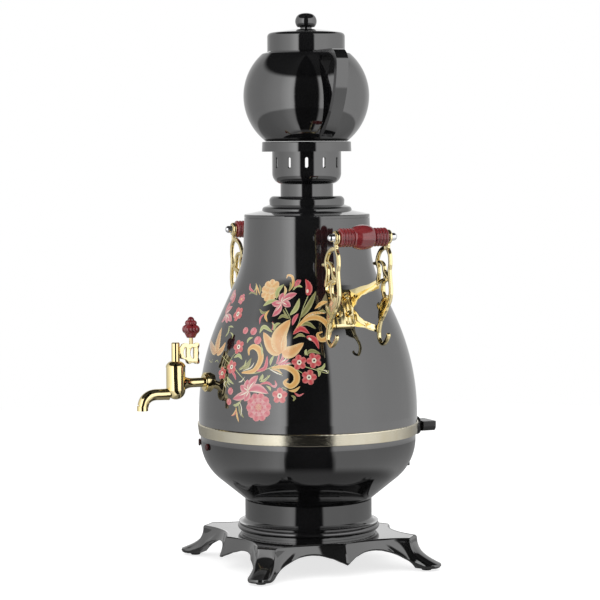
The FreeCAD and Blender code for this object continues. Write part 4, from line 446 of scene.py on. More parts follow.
def make_hub(side):
    """The cover plate between the two brackets, with a raised leaf ornament and two edge beads."""
    mesh = bmesh.new()
    rows, columns = 40, 44
    grid = bmesh.ops.create_grid(mesh, x_segments=rows, y_segments=columns, size=1)
    middle = (HUB_LOW + HUB_TOP) / 2
    half = (HUB_TOP - HUB_LOW) / 2
    for vert in grid["verts"]:
        across, up = vert.co.x, vert.co.y
        y, z = across * (HUB_HALF + 0.6), middle + half * up
        leaf = math.exp(-(y / 5.2) ** 4 - ((z - middle + 4) / 11) ** 4)
        relief = 0.55 * leaf + 0.2 * leaf * math.cos(y * 1.1) + 0.3 * math.exp(-((abs(y) - 10.2) / 1.6) ** 2)
        relief -= 1.2 * (max(0, abs(up) - 0.86) / 0.14) ** 2
        radius = vessel_radius(z) + 4.6 + relief
        vert.co = Vector((math.sqrt(radius ** 2 - y ** 2), y, z))
    faces = mesh.faces[:]
    bmesh.ops.recalc_face_normals(mesh, faces=faces)
    bmesh.ops.solidify(mesh, geom=faces, thickness=2.0)
    put_side(mesh, side, 1)
    smooth_faces(mesh, 60)
    name = "right" if side > 0 else "left"
    finished_piece(name + "_hub_plate", mesh, FINISHES["brass"], "stand", "brass", name + "_handle_saddle")


def grip_profile():
    """Radius against length: four beads, a barrel, four beads."""
    points = [(2.75, -27.9), (7.6, -27.9), (8.6, -27.5)]
    half = []
    for ring in range(4):
        start = -27.4 + 3.7 * ring
        for step in range(9):
            share = step / 8
            half.append((8.7 + 1.45 * math.sin(math.pi * share) ** 0.6, start + 3.5 * share))
    half.append((8.6, -12.5))
    barrel = [(9.0 + 4.5 * max(0, 1 - (y / 12.2) ** 2) ** 0.62, y) for y in
              [-12.1 + 24.2 * step / 32 for step in range(33)]]
    other = [(r, -y) for r, y in half[::-1]]
    return points + half + barrel + other + [(r, -y) for r, y in points[::-1]] + [(2.75, -27.9)]


def make_grip(side):
    mesh = bmesh.new()
    turned(mesh, grip_profile(), Vector((GRIP_REACH, 0, GRIP_HEIGHT)), Vector((0, 1, 0)), 72)
    put_side(mesh, side, 1)
    smooth_faces(mesh, 60)
    name = "right" if side > 0 else "left"
    finished_piece(name + "_turned_grip", mesh, FINISHES["wood"], "stand", "red_wood", name + "_grip")


# Base: one flowing casting, its apron drawn down into four legs

APRON_FOOT = (
    (157, 0, 3), (155.6, 6.4, 3), (150.5, 11.4, 3), (144, 13.4, 3), (136.5, 13.6, 4.4),
    (129.5, 14.2, 8.6), (122.5, 17, 14.2), (113.5, 23.5, 19.6), (103.5, 32.5, 23.4), (95, 42, 24.6),
    (88.8, 52, 23.2), (83.8, 62, 20), (79.8, 71.2, 16), (77.6, 77.6, 13.5))
SIDE_SHARES = (0, 0.06, 0.14, 0.25, 0.37, 0.48, 0.59, 0.7, 0.82, 0.92, 1)
PLATE_TOP, EDGE_TOP, PLATE_UNDER = 36.5, 34.5, 33.4
CORNER_REACH, CORNER_HALF, CUSP = 126, 11, 71.9
SIDE_HOLLOW = 10
EDGE_BEAD = ((4.5, 0.3), (2.2, 0.3), (1.7, 0), (0.9, 0.5))
TIE_HOLE, NECK_SEAT = 4.4, 60
HALF_QUARTER_ROWS = 39


def plate_edge():
    """Top edge of the apron from the middle of a leg to the middle of a side, along and across the leg."""
    corner, cusp = Vector((CORNER_REACH, CORNER_HALF, EDGE_TOP)), Vector((CUSP, CUSP, EDGE_TOP))
    way = cusp - corner
    inward = Vector((-way.y, way.x, 0)).normalized()
    if inward.x > 0:
        inward = -inward
    points = [Vector((CORNER_REACH, y, EDGE_TOP)) for y in (0, 4, 8)]
    return points + [corner + way * t + inward * (4 * SIDE_HOLLOW * t * (1 - t)) for t in SIDE_SHARES]


def half_quarter():
    """Pairs of top and foot points from a leg's middle to a cusp; between the legs the apron is upright."""
    top = smooth_line(plate_edge(), HALF_QUARTER_ROWS)
    foot = smooth_line([Vector(point) for point in APRON_FOOT], HALF_QUARTER_ROWS)
    for point in foot:
        above = min(top, key=lambda spot: math.hypot(spot.x - point.x, spot.y - point.y))
        flare = Vector((point.x - above.x, point.y - above.y, 0))
        limit = 0.3 * (above.z - point.z) + 40 * max(0, (point.x - 108) / 16) ** 2
        if flare.length > limit:
            point -= flare * (1 - limit / flare.length)
    return list(zip(top, foot))


def pulled(point, inward, z):
    """The point moved towards the axis, at another height."""
    length = math.hypot(point.x, point.y)
    share = (length - inward) / length
    return Vector((point.x * share, point.y * share, z))


def base_section(top, foot):
    """The casting's closed outline through one pair of top and foot points."""
    reach = math.hypot(top.x, top.y)
    middle = lambda radius, z: Vector((top.x / reach * radius, top.y / reach * radius, z))
    section = [middle(TIE_HOLE, PLATE_TOP), middle(NECK_SEAT, PLATE_TOP)]
    section += [pulled(top, inward, PLATE_TOP - drop) for inward, drop in EDGE_BEAD] + [top]
    leg = max(0, min(1, (foot.x - 124) / 12))
    rim = foot.z + 1.6 + 2.6 * leg
    for step in range(1, 13):
        v = step / 12
        skin = top.lerp(foot, v ** (1.2 + 1.1 * leg))
        section.append(Vector((skin.x, skin.y, top.z + (rim - top.z) * v)))
    section += [pulled(foot, -0.5, foot.z + 0.9 + leg), pulled(foot, 1.0, foot.z)]
    heel = pulled(foot, 3.0, foot.z)
    heel = heel.lerp(Vector((131.5, foot.y * 0.8, foot.z)), leg)
    section.append(heel)
    under = pulled(top, 3.6, PLATE_UNDER)
    for step in range(1, 7):
        v = step / 6
        skin = heel.lerp(under, v ** 0.55)
        section.append(Vector((skin.x, skin.y, heel.z + (under.z - heel.z) * v)))
    return section + [middle(NECK_SEAT, PLATE_UNDER), middle(TIE_HOLE, PLATE_UNDER)]


def make_base_casting():
    """Sections all the way round, wrapped into one closed skin."""
    half = half_quarter()
    ring = []
    for quarter in range(4):
        leg = math.radians(45 + 90 * quarter)
        along = Vector((math.cos(leg), math.sin(leg), 0))
        across = Vector((-math.sin(leg), math.cos(leg), 0))
        for flip, pairs in ((-1, half[:0:-1]), (1, half[:-1])):
            for pair in pairs:
                section = base_section(*pair)
                ring.append([along * p.x + across * (p.y * flip) + Vector((0, 0, p.z)) for p in section])
    around, tall = len(ring), len(ring[0])
    mesh = bmesh.new()
    grid = bmesh.ops.create_grid(mesh, x_segments=around, y_segments=tall, size=1)
    for vert in grid["verts"]:
        i = round((vert.co.x + 1) / 2 * around) % around
        j = round((vert.co.y + 1) / 2 * tall) % tall
        vert.co = ring[i][j]
    put_side(mesh, 1, 1)
    smooth_faces(mesh, 38)
    finished_piece("base_casting", mesh, FINISHES["casting"], "stand", "cast_black", "base")


# Tap: barrel with a round bottom that runs into the curved spout, and a flared shank

TAP_AXIS = -158.7
BARREL_RADIUS, PLUG_SEAT = 10.6, 6.75
SPOUT_HEIGHT, SPOUT_RADIUS, SPOUT_BORE, SPOUT_REACH = 199.6, 6.3, 4.2, 39
SPOUT_LINE = ((8.6, 0), (13, 0), (19, 0), (25, 0), (31, 1.6), (36.4, 6), (38.7, 12.5))
SHANK_HEIGHT, SHANK_RADIUS, SHANK_BORE = 211, 5.25, 3.2
SHANK_FLARE = ((8.6, 7.4), (8.0, 9), (7.2, 10.8), (6.2, 13.2), (5.5, 16), (SHANK_RADIUS, 19))


def tube(mesh, points, radii, rows, columns=32):
    """A round bar along a smooth line in the tap's middle plane."""
    spine = smooth_line(points, rows)
    grid = bmesh.ops.create_grid(mesh, x_segments=rows, y_segments=columns, size=1)
    for vert in grid["verts"]:
        i = round((vert.co.x + 1) / 2 * rows)
        turn = (vert.co.y + 1) * math.pi
        ahead = (spine[min(i + 1, rows)] - spine[max(i - 1, 0)]).normalized()
        side = Vector((0, -ahead.z, ahead.y))
        place = i / rows * (len(radii) - 1)
        k = min(int(place), len(radii) - 2)
        radius = radii[k] + (radii[k + 1] - radii[k]) * (place - k)
        vert.co = spine[i] + (side * math.cos(turn) + Vector((1, 0, 0)) * math.sin(turn)) * radius


def make_tap_casting():
    low, high = (corner / MM for corner in map(Vector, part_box("tap_body")))
    along = Vector((0, 1, 0))
    mesh = bmesh.new()
    bottom = SPOUT_HEIGHT - SPOUT_RADIUS + BARREL_RADIUS
    profile = [(PLUG_SEAT, high.z - 6), (PLUG_SEAT, high.z), (BARREL_RADIUS, high.z), (BARREL_RADIUS, bottom)]
    for step in range(1, 13):
        turn = math.pi / 24 * step
        profile.append((BARREL_RADIUS * math.cos(turn), bottom - BARREL_RADIUS * math.sin(turn)))
    barrel = Vector((0, TAP_AXIS, high.z))
    turned(mesh, [(max(0.01, r), z - high.z) for r, z in profile], barrel, Vector((0, 0, 1)), 64)
    line = [Vector((0, TAP_AXIS - reach, SPOUT_HEIGHT - drop)) for reach, drop in SPOUT_LINE]
    line += [Vector((0, TAP_AXIS - SPOUT_REACH, low.z + rise)) for rise in (5, 0)]
    tube(mesh, line, (6.6, 6.3, 6.2, 6.2, 6.2, 6.2, 6.2, 6.25, SPOUT_RADIUS), 48)
    rim = [Vector((0, TAP_AXIS - SPOUT_REACH, low.z + rise)) for rise in (0, 0.05, 0.1, 4, 8, 12)]
    tube(mesh, rim, (SPOUT_RADIUS, 5.2, SPOUT_BORE, SPOUT_BORE, SPOUT_BORE, 0.1), 12)
    shank = Vector((0, TAP_AXIS, SHANK_HEIGHT))
    start, end = -TAP_AXIS - 126, high.y - TAP_AXIS
    turned(mesh, SHANK_FLARE + ((SHANK_RADIUS, start),), shank, along, 40)
    turned(mesh, ((SHANK_RADIUS, start), (SHANK_RADIUS, end), (SHANK_BORE, end), (SHANK_BORE, start)), shank,
           along, 40)
    put_side(mesh, 1, 1)
    smooth_faces(mesh, 50)
    finished_piece("tap_casting", mesh, FINISHES["brass"], "stand", "brass", "tap_body")


# Tap key: a sleeve on the stem with a pierced plate that carries the knob's post

KEY_OUTLINE = (
    (4.2, 238.5), (8, 237.6), (11.2, 236.9), (12.3, 233.6), (14, 232.1), (16.2, 231.9), (18.6, 233),
    (20.4, 233), (22.8, 231.9), (26, 231.6), (27.6, 232.4), (27.9, 235.5), (26.8, 238.5), (26.8, 240.5),
    (27.5, 243.5), (26.8, 246.5), (26.8, 248.5), (27.9, 251.5), (27.6, 254.4), (26, 255.2),
    (22.8, 254.8), (20.8, 253.7), (18.3, 255.2), (15.8, 253.7), (13.8, 254.9), (10, 255.1), (7, 254),
    (5.8, 251.6), (4.2, 250.8))
KEY_THICKNESS = 3
SLEEVE_BORE, SLEEVE_RADIUS, SLEEVE_TOP = 3.05, 4.6, 252.3
POST_PLACE, POST_RADIUS, POST_LOW, POST_TOP = 18.3, 2.2, 254, 267
KEY_OPENINGS = ((10.4, 244.6, 1.5, 5.6), (18.9, 243.8, 1.8, 6.2))


def make_key():
    """The pierced plate, cut from its outline and openings, with the sleeve and the post."""
    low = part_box("tap_key")[0][2] / MM
    mesh = bmesh.new()
    loops = [KEY_OUTLINE]
    for y, z, wide, tall in KEY_OPENINGS:
        turns = [FULL * k / 28 for k in range(28)]
        loops.append([(y + wide * math.cos(a) + 1.3 * math.sin(a) ** 2, z + tall * math.sin(a))
                      for a in turns])
    edges = []
    for loop in loops:
        verts = [mesh.verts.new((KEY_THICKNESS / 2, TAP_AXIS + y, z)) for y, z in loop]
        edges += [mesh.edges.new(pair) for pair in zip(verts, verts[1:] + verts[:1])]
    bmesh.ops.triangle_fill(mesh, use_beauty=True, edges=edges)
    faces = mesh.faces[:]
    bmesh.ops.recalc_face_normals(mesh, faces=faces)
    bmesh.ops.solidify(mesh, geom=faces, thickness=KEY_THICKNESS)
    middle = sum((vert.co.x for vert in mesh.verts)) / len(mesh.verts)
    for vert in mesh.verts:
        vert.co.x -= middle
    bmesh.ops.recalc_face_normals(mesh, faces=mesh.faces)
    rims = [edge for edge in mesh.edges if len(edge.link_faces) == 2 and edge.calc_face_angle() > 1.2]
    bmesh.ops.bevel(mesh, geom=rims, offset=0.4, segments=2, profile=0.5, affect="EDGES", material=-1)
    up = Vector((0, 0, 1))
    turned(mesh, ((SLEEVE_BORE, low), (SLEEVE_RADIUS, low), (SLEEVE_RADIUS, SLEEVE_TOP),
                  (SLEEVE_BORE, SLEEVE_TOP), (SLEEVE_BORE, low)), Vector((0, TAP_AXIS, 0)), up, 40)
    turned(mesh, ((0.05, POST_LOW), (POST_RADIUS, POST_LOW), (POST_RADIUS, POST_TOP), (0.05, POST_TOP)),
           Vector((0, TAP_AXIS + POST_PLACE, 0)), up, 24)
    put_side(mesh, 1, 1)
    smooth_faces(mesh, 40)
    finished_piece("tap_key_plate", mesh, FINISHES["brass"], "tap_key", "brass", "tap_key")


for side in (1, -1):
    for hand in (1, -1):
        make_bracket(side, hand)
    make_hub(side)
    make_grip(side)
make_base_casting()
make_tap_casting()
make_key()


# Painted ornament: folk style flowers, leaves and scrolls on the vessel's front, drawn stroke by stroke.
# A stroke's points are read off a drawing of the camera's view and land on the vessel's wall.

DRAWING_LEFT, DRAWING_TOP, DRAWING_SCALE = 205, 270, 9


def wall_point(azimuth, z, lift=0.0):
    """A point of the vessel's wall, azimuth counted from the tap towards +X, lifted off the wall."""
    slope = vessel_radius(z - 0.5) - vessel_radius(z + 0.5)
    radius = vessel_radius(z)
    out = Vector((math.sin(azimuth), -math.cos(azimuth), slope)).normalized()
    return Vector((radius * math.sin(azimuth), -radius * math.cos(azimuth), z)) + out * lift


def to_wall(point, lift=0.0):
    """The place on the wall straight in from a point near it."""
    return wall_point(math.atan2(point.x, -point.y), point.z, lift)


def drawn(x, y):
    """The point of the wall under a point of the drawing."""
    start, ray = sight(DRAWING_LEFT + x / DRAWING_SCALE, DRAWING_TOP + y / DRAWING_SCALE)
    near, far = 2300.0, 2560.0
    step = (far - near) / 260
    while near < far:
        spot = start + ray * near
        if math.hypot(spot.x, spot.y) < vessel_radius(spot.z):
            break
        near += step
    low, high = near - step, near
    for _ in range(20):
        middle = (low + high) / 2
        spot = start + ray * middle
        if math.hypot(spot.x, spot.y) < vessel_radius(spot.z):
            high = middle
        else:
            low = middle
    return to_wall(start + ray * high)


def width_leaf(s):
    return math.sin(math.pi * s) ** 0.8


def width_drop(s):
    return math.sin(math.pi * s ** 0.7) ** 0.7


def width_round(s):
    return math.sqrt(max(0, 1 - (2 * s - 1) ** 2))


def width_scroll(s):
    return (math.sin(math.pi * (0.03 + 0.94 * s ** 0.8)) ** 0.9) * 0.9 + 0.08


def width_stem(s):
    return 1 - 0.5 * s


PAINTS = {
    "pink": ((0.68, 0.17, 0.22), (0.84, 0.50, 0.47)), "rose": ((0.66, 0.115, 0.155), (0.78, 0.32, 0.32)),
    "red": ((0.64, 0.07, 0.085), (0.74, 0.26, 0.24)), "orange": ((0.80, 0.43, 0.17), (0.90, 0.68, 0.36)),
    "gold": ((0.80, 0.44, 0.14), (0.90, 0.68, 0.32)), "yellow": ((0.84, 0.60, 0.28), (0.9, 0.76, 0.46)),
    "olive": ((0.27, 0.27, 0.10), (0.50, 0.48, 0.24)), "green": ((0.46, 0.50, 0.20), (0.66, 0.66, 0.36)),
    "cream": ((0.90, 0.84, 0.66), (0.93, 0.88, 0.74)), "dark": ((0.02, 0.014, 0.012), (0.03, 0.02, 0.018)),
}


class Ornament:
    """One mesh that collects the strokes, each a small grid laid on the wall."""

    def __init__(self):
        self.mesh = bmesh.new()
        self.colour = self.mesh.loops.layers.float_color.new("paint")
        self.count = 0
        self.far_side = []

    def stroke(self, line, width, shape, paint, lift, rows=14, columns=6):
        """Lay a grid along a line of wall points; width in millimetres."""
        spine = smooth_line(line, rows)
        grid = bmesh.ops.create_grid(self.mesh, x_segments=rows, y_segments=columns, size=1)
        lift = 0.05 + 0.012 * lift + 0.00006 * self.count
        self.count += 1
        inner, edge = PAINTS[paint]
        shade = {}
        for vert in grid["verts"]:
            along = round((vert.co.x + 1) / 2 * rows)
            across = vert.co.y
            spot = spine[along]
            ahead = spine[min(along + 1, rows)] - spine[max(along - 1, 0)]
            out = Vector((spot.x, spot.y, 0)).normalized()
            side = out.cross(ahead).normalized()
            vert.co = to_wall(spot + side * (across * width / 2 * shape(along / rows)), lift)
            shade[vert] = edge if abs(across) > 0.95 else inner if abs(across) < 0.5 else [
                (a + b) / 2 for a, b in zip(inner, edge)]
        faces = {face for vert in grid["verts"] for face in vert.link_faces}
        for face in faces:
            for loop in face.loops:
                loop[self.colour] = (*shade[loop.vert], 1)
        if all(vert.co.x > 0.42 * -vert.co.y for vert in grid["verts"]):
            self.far_side += faces
        return spine

    def from_drawing(self, points, width, shape, paint, lift=1, **more):
        return self.stroke([drawn(x, y) for x, y in points], width, shape, paint, lift, **more)

    def blob(self, centre, angle, distance, length, width, paint, lift, shape=width_round):
        """A short stroke near a wall point, its middle `distance` away at an angle."""
        out = Vector((centre.x, centre.y, 0)).normalized()
        around, up = Vector((0, 0, 1)).cross(out), Vector((0, 0, 1))
        way = around * math.cos(angle) + up * math.sin(angle)
        start = to_wall(centre + way * (distance - length / 2))
        middle = to_wall(centre + way * distance)
        end = to_wall(centre + way * (distance + length / 2))
        self.stroke([start, middle, end], width, shape, paint, lift, rows=8, columns=4)

    def small_flower(self, x, y, size=7.3, turn=0.3, paint="red"):
        """Five round petals, a pale eye and a dark dot."""
        centre = drawn(x, y)
        for k in range(5):
            self.blob(centre, turn + FULL / 5 * k, size * 0.58, size * 0.9, size * 0.82, paint, 3)
        self.blob(centre, 0, 0, size * 0.66, size * 0.66, "cream", 5)
        self.blob(centre, 0, 0, size * 0.26, size * 0.26, "dark", 6)

    def berry(self, x, y, size=4.2):
        centre = drawn(x, y)
        self.blob(centre, 1.2, 0, size * 2, size * 2, "rose", 3)
        self.blob(centre, 2.2, size * 0.4, size * 0.5, size * 0.4, "pink", 4)

    def ruffle(self, x, y, ring, petals, size, paint, lift, turn=0.0, squash=1.0):
        """A ring of round petals about a drawn centre."""
        centre = drawn(x, y)
        for k in range(petals):
            angle = turn + FULL / petals * k
            away = ring * (1 + (squash - 1) * abs(math.sin(angle)))
            self.blob(centre, angle, away, size, size, paint, lift)
        return centre


def paint_lily(ornament, centre, tips, width, paint="pink"):
    for tip_x, tip_y in tips:
        x, y = centre
        bend_x = (x + tip_x) / 2 + (tip_y - y) * 0.08
        bend_y = (y + tip_y) / 2 - (tip_x - x) * 0.08
        ornament.from_drawing([centre, (bend_x, bend_y), (tip_x, tip_y)], width, width_leaf, paint, 4)
        inner = (x + (tip_x - x) * 0.62, y + (tip_y - y) * 0.62)
        ornament.from_drawing([centre, (bend_x * 0.5 + x * 0.5, bend_y * 0.5 + y * 0.5), inner], width * 0.16,
                              width_leaf, "cream", 5, rows=8, columns=2)


LEAVES = (
    ("olive", 4.6, ((850, 440), (930, 330), (1000, 190))),
    ("green", 4.2, ((760, 410), (820, 345), (850, 255))),
    ("olive", 3.4, ((820, 510), (915, 480), (1000, 530))),
    ("green", 3.4, ((490, 572), (530, 512), (610, 562))),
    ("green", 2.4, ((618, 550), (638, 495), (680, 478))),
    ("olive", 2.4, ((655, 442), (700, 412), (752, 440))),
    ("green", 3.0, ((258, 790), (305, 768), (335, 806))),
    ("green", 2.2, ((378, 660), (395, 622), (432, 606))),
    ("olive", 2.8, ((300, 895), (380, 850), (420, 790))),
    ("green", 2.4, ((588, 862), (596, 812), (622, 770))),
    ("olive", 2.6, ((570, 890), (640, 885), (700, 955))),
    ("green", 2.2, ((490, 1005), (540, 990), (592, 940))),
    ("green", 1.8, ((486, 998), (510, 960), (520, 945))),
    ("olive", 2.2, ((555, 1048), (580, 1062), (592, 1092))),
    ("olive", 2.0, ((775, 1128), (806, 1150), (792, 1182))),
    ("olive", 2.4, ((300, 1200), (318, 1280), (350, 1332))),
    ("green", 1.6, ((250, 1216), (280, 1212), (310, 1186))),
    ("green", 2.6, ((1000, 892), (1058, 882), (1080, 838))),
    ("green", 2.4, ((1008, 898), (1030, 925), (1022, 962))),
    ("olive", 3.0, ((896, 768), (960, 728), (1042, 756))),
    ("green", 1.8, ((898, 762), (905, 735), (912, 712))),
    ("olive", 1.8, ((392, 218), (430, 200), (472, 228))),
    ("olive", 1.6, ((492, 222), (500, 175), (490, 128))),
    ("green", 2.2, ((788, 185), (830, 142), (880, 155))),
    ("olive", 2.0, ((490, 350), (522, 386), (582, 370))),
    ("green", 1.8, ((180, 605), (212, 556), (216, 505))),
    ("green", 1.4, ((212, 512), (236, 508), (258, 516))),
    ("green", 1.4, ((228, 560), (250, 585), (240, 622))),
    ("green", 2.4, ((195, 960), (215, 990), (262, 1030))),
    ("olive", 2.2, ((205, 1000), (180, 1030), (190, 1062))),
    ("olive", 2.6, ((1012, 405), (1050, 372), (1098, 384))),
    ("olive", 2.0, ((790, 618), (850, 588), (905, 600))),
)
RED_STROKES = (
    ("red", 4.6, ((790, 580), (860, 528), (942, 572))),
    ("rose", 3.4, ((786, 500), (806, 440), (842, 392))),
    ("rose", 2.2, ((806, 160), (826, 105), (866, 92))),
    ("rose", 2.2, ((408, 118), (408, 170), (452, 202))),
    ("rose", 3.4, ((460, 912), (540, 880), (562, 770))),
    ("rose", 2.2, ((486, 1032), (560, 1015), (618, 1050))),
    ("rose", 1.8, ((590, 1046), (640, 1040), (628, 990))),
    ("red", 1.5, ((800, 1100), (840, 1132), (888, 1108))),
    ("red", 1.5, ((234, 1312), (262, 1300), (284, 1268))),
    ("rose", 1.8, ((492, 492), (500, 432), (540, 392))),
    ("rose", 1.6, ((598, 545), (616, 510), (608, 462))),
    ("pink", 1.8, ((640, 850), (690, 812), (722, 760))),
    ("pink", 1.8, ((650, 850), (710, 830), (760, 800))),
    ("pink", 1.8, ((655, 855), (720, 845), (780, 835))),
    ("pink", 1.6, ((640, 846), (660, 800), (668, 745))),
    ("rose", 2.6, ((232, 905), (262, 940), (280, 992))),
)
ORANGE_STROKES = (
    ("gold", 7.0, ((330, 925), (440, 905), (500, 810), (490, 725), (440, 690), (398, 715), (396, 768)),
     width_scroll),
    ("gold", 7.0, ((600, 880), (720, 872), (812, 925), (822, 1000), (770, 1046), (716, 1015), (748, 978)),
     width_scroll),
    ("gold", 6.0, ((800, 560), (900, 450), (1020, 432), (1105, 500), (1108, 600), (1046, 630), (1012, 580),
                   (1058, 556)), width_scroll),
    ("gold", 4.2, ((985, 352), (1050, 300), (1105, 285)), width_leaf),
    ("gold", 3.4, ((860, 470), (930, 410), (1010, 385), (1085, 392)), width_leaf),
    ("gold", 3.0, ((755, 192), (792, 130), (786, 62), (748, 48), (734, 76)), width_scroll),
    ("gold", 3.0, ((562, 470), (545, 412), (578, 360)), width_leaf),
    ("gold", 2.8, ((748, 1082), (808, 1088), (856, 1050)), width_leaf),
    ("gold", 2.6, ((278, 1228), (288, 1310), (306, 1372)), width_leaf),
    ("gold", 1.8, ((458, 118), (476, 170), (494, 226)), width_leaf),
    ("orange", 12, ((108, 750), (118, 640), (152, 514)), width_drop),
    ("orange", 9, ((100, 752), (66, 700), (52, 622)), width_drop),
    ("orange", 8, ((104, 756), (148, 722), (188, 650)), width_drop),
)
FINE_STROKES = (
    ("green", 2.2, ((306, 905), (352, 870), (372, 806))),
    ("cream", 1.3, ((330, 912), (410, 880), (448, 826))),
    ("olive", 2.2, ((340, 900), (392, 868), (416, 800))),
    ("cream", 1.2, ((566, 882), (640, 925), (702, 950))),
    ("orange", 1.6, ((590, 892), (650, 905), (700, 935))),
    ("pink", 1.8, ((648, 848), (690, 800), (700, 745))),
    ("cream", 1.2, ((655, 850), (712, 815), (742, 775))),
    ("cream", 1.1, ((660, 856), (730, 850), (788, 845))),
    ("orange", 1.8, ((872, 466), (950, 405), (1062, 378))),
    ("cream", 1.3, ((884, 452), (970, 396), (1090, 380))),
    ("green", 2.0, ((502, 1000), (520, 965), (516, 932))),
    ("olive", 1.8, ((520, 1002), (556, 980), (566, 942))),
    ("green", 1.8, ((215, 978), (206, 1010), (230, 1040))),
    ("cream", 1.1, ((196, 992), (172, 1022), (188, 1062))),
    ("green", 2.0, ((262, 1228), (296, 1214), (330, 1168))),
    ("cream", 1.2, ((310, 1180), (330, 1250), (322, 1320))),
    ("gold", 2.4, ((764, 1084), (812, 1080), (858, 1046))),
    ("rose", 1.8, ((810, 1104), (850, 1130), (892, 1108))),
    ("green", 1.6, ((1020, 880), (1046, 900), (1108, 906))),
    ("cream", 1.1, ((1062, 900), (1092, 912), (1108, 930))),
    ("green", 1.5, ((430, 205), (456, 168), (462, 120))),
    ("gold", 1.4, ((470, 226), (462, 180), (470, 140))),
    ("olive", 2.0, ((700, 352), (726, 400), (758, 440))),
    ("green", 1.8, ((600, 470), (622, 500), (610, 545))),
    ("olive", 2.4, ((752, 190), (772, 150), (766, 108))),
    ("rose", 2.2, ((800, 150), (838, 128), (866, 92))),
    ("cream", 1.3, ((360, 960), (330, 1000), (300, 1010))),
    ("pink", 2.4, ((640, 1010), (632, 1050), (590, 1040))),
    ("green", 2.0, ((930, 770), (908, 748), (912, 712))),
    ("olive", 2.6, ((806, 604), (858, 580), (908, 604))),
    ("green", 1.6, ((548, 1040), (580, 1060), (590, 1088))),
    ("gold", 1.6, ((286, 1240), (262, 1290), (240, 1312))),
    ("olive", 3.2, ((322, 886), (378, 866), (398, 830))),
    ("green", 2.4, ((500, 690), (514, 726), (510, 772))),
)
STEMS = (
    ((330, 925), (450, 930), (560, 890), (640, 845), (672, 742)),
    ((926, 236), (880, 350), (846, 470), (806, 556)),
    ((720, 340), (750, 400), (772, 448)), ((900, 870), (1000, 900), (1100, 930), (1112, 905)),
    ((280, 905), (340, 975), (372, 1020)),
    ((205, 860), (255, 770), (300, 730)),
    ((810, 890), (850, 912), (900, 945)),
    ((500, 660), (520, 720), (510, 760)),
    ((290, 910), (180, 800), (150, 770)),
    ((165, 975), (200, 1040), (215, 1060)),
    ((740, 1078), (700, 1060), (690, 1080)),
    ((40, 812), (60, 830), (70, 800)),
    ((90, 830), (110, 812), (122, 838)),
)


POLLEN = ((692, 600), (712, 560), (736, 590), (672, 640), (716, 645), (742, 530), (600, 665), (576, 622),
          (640, 706), (786, 712), (826, 690), (752, 728), (694, 690))


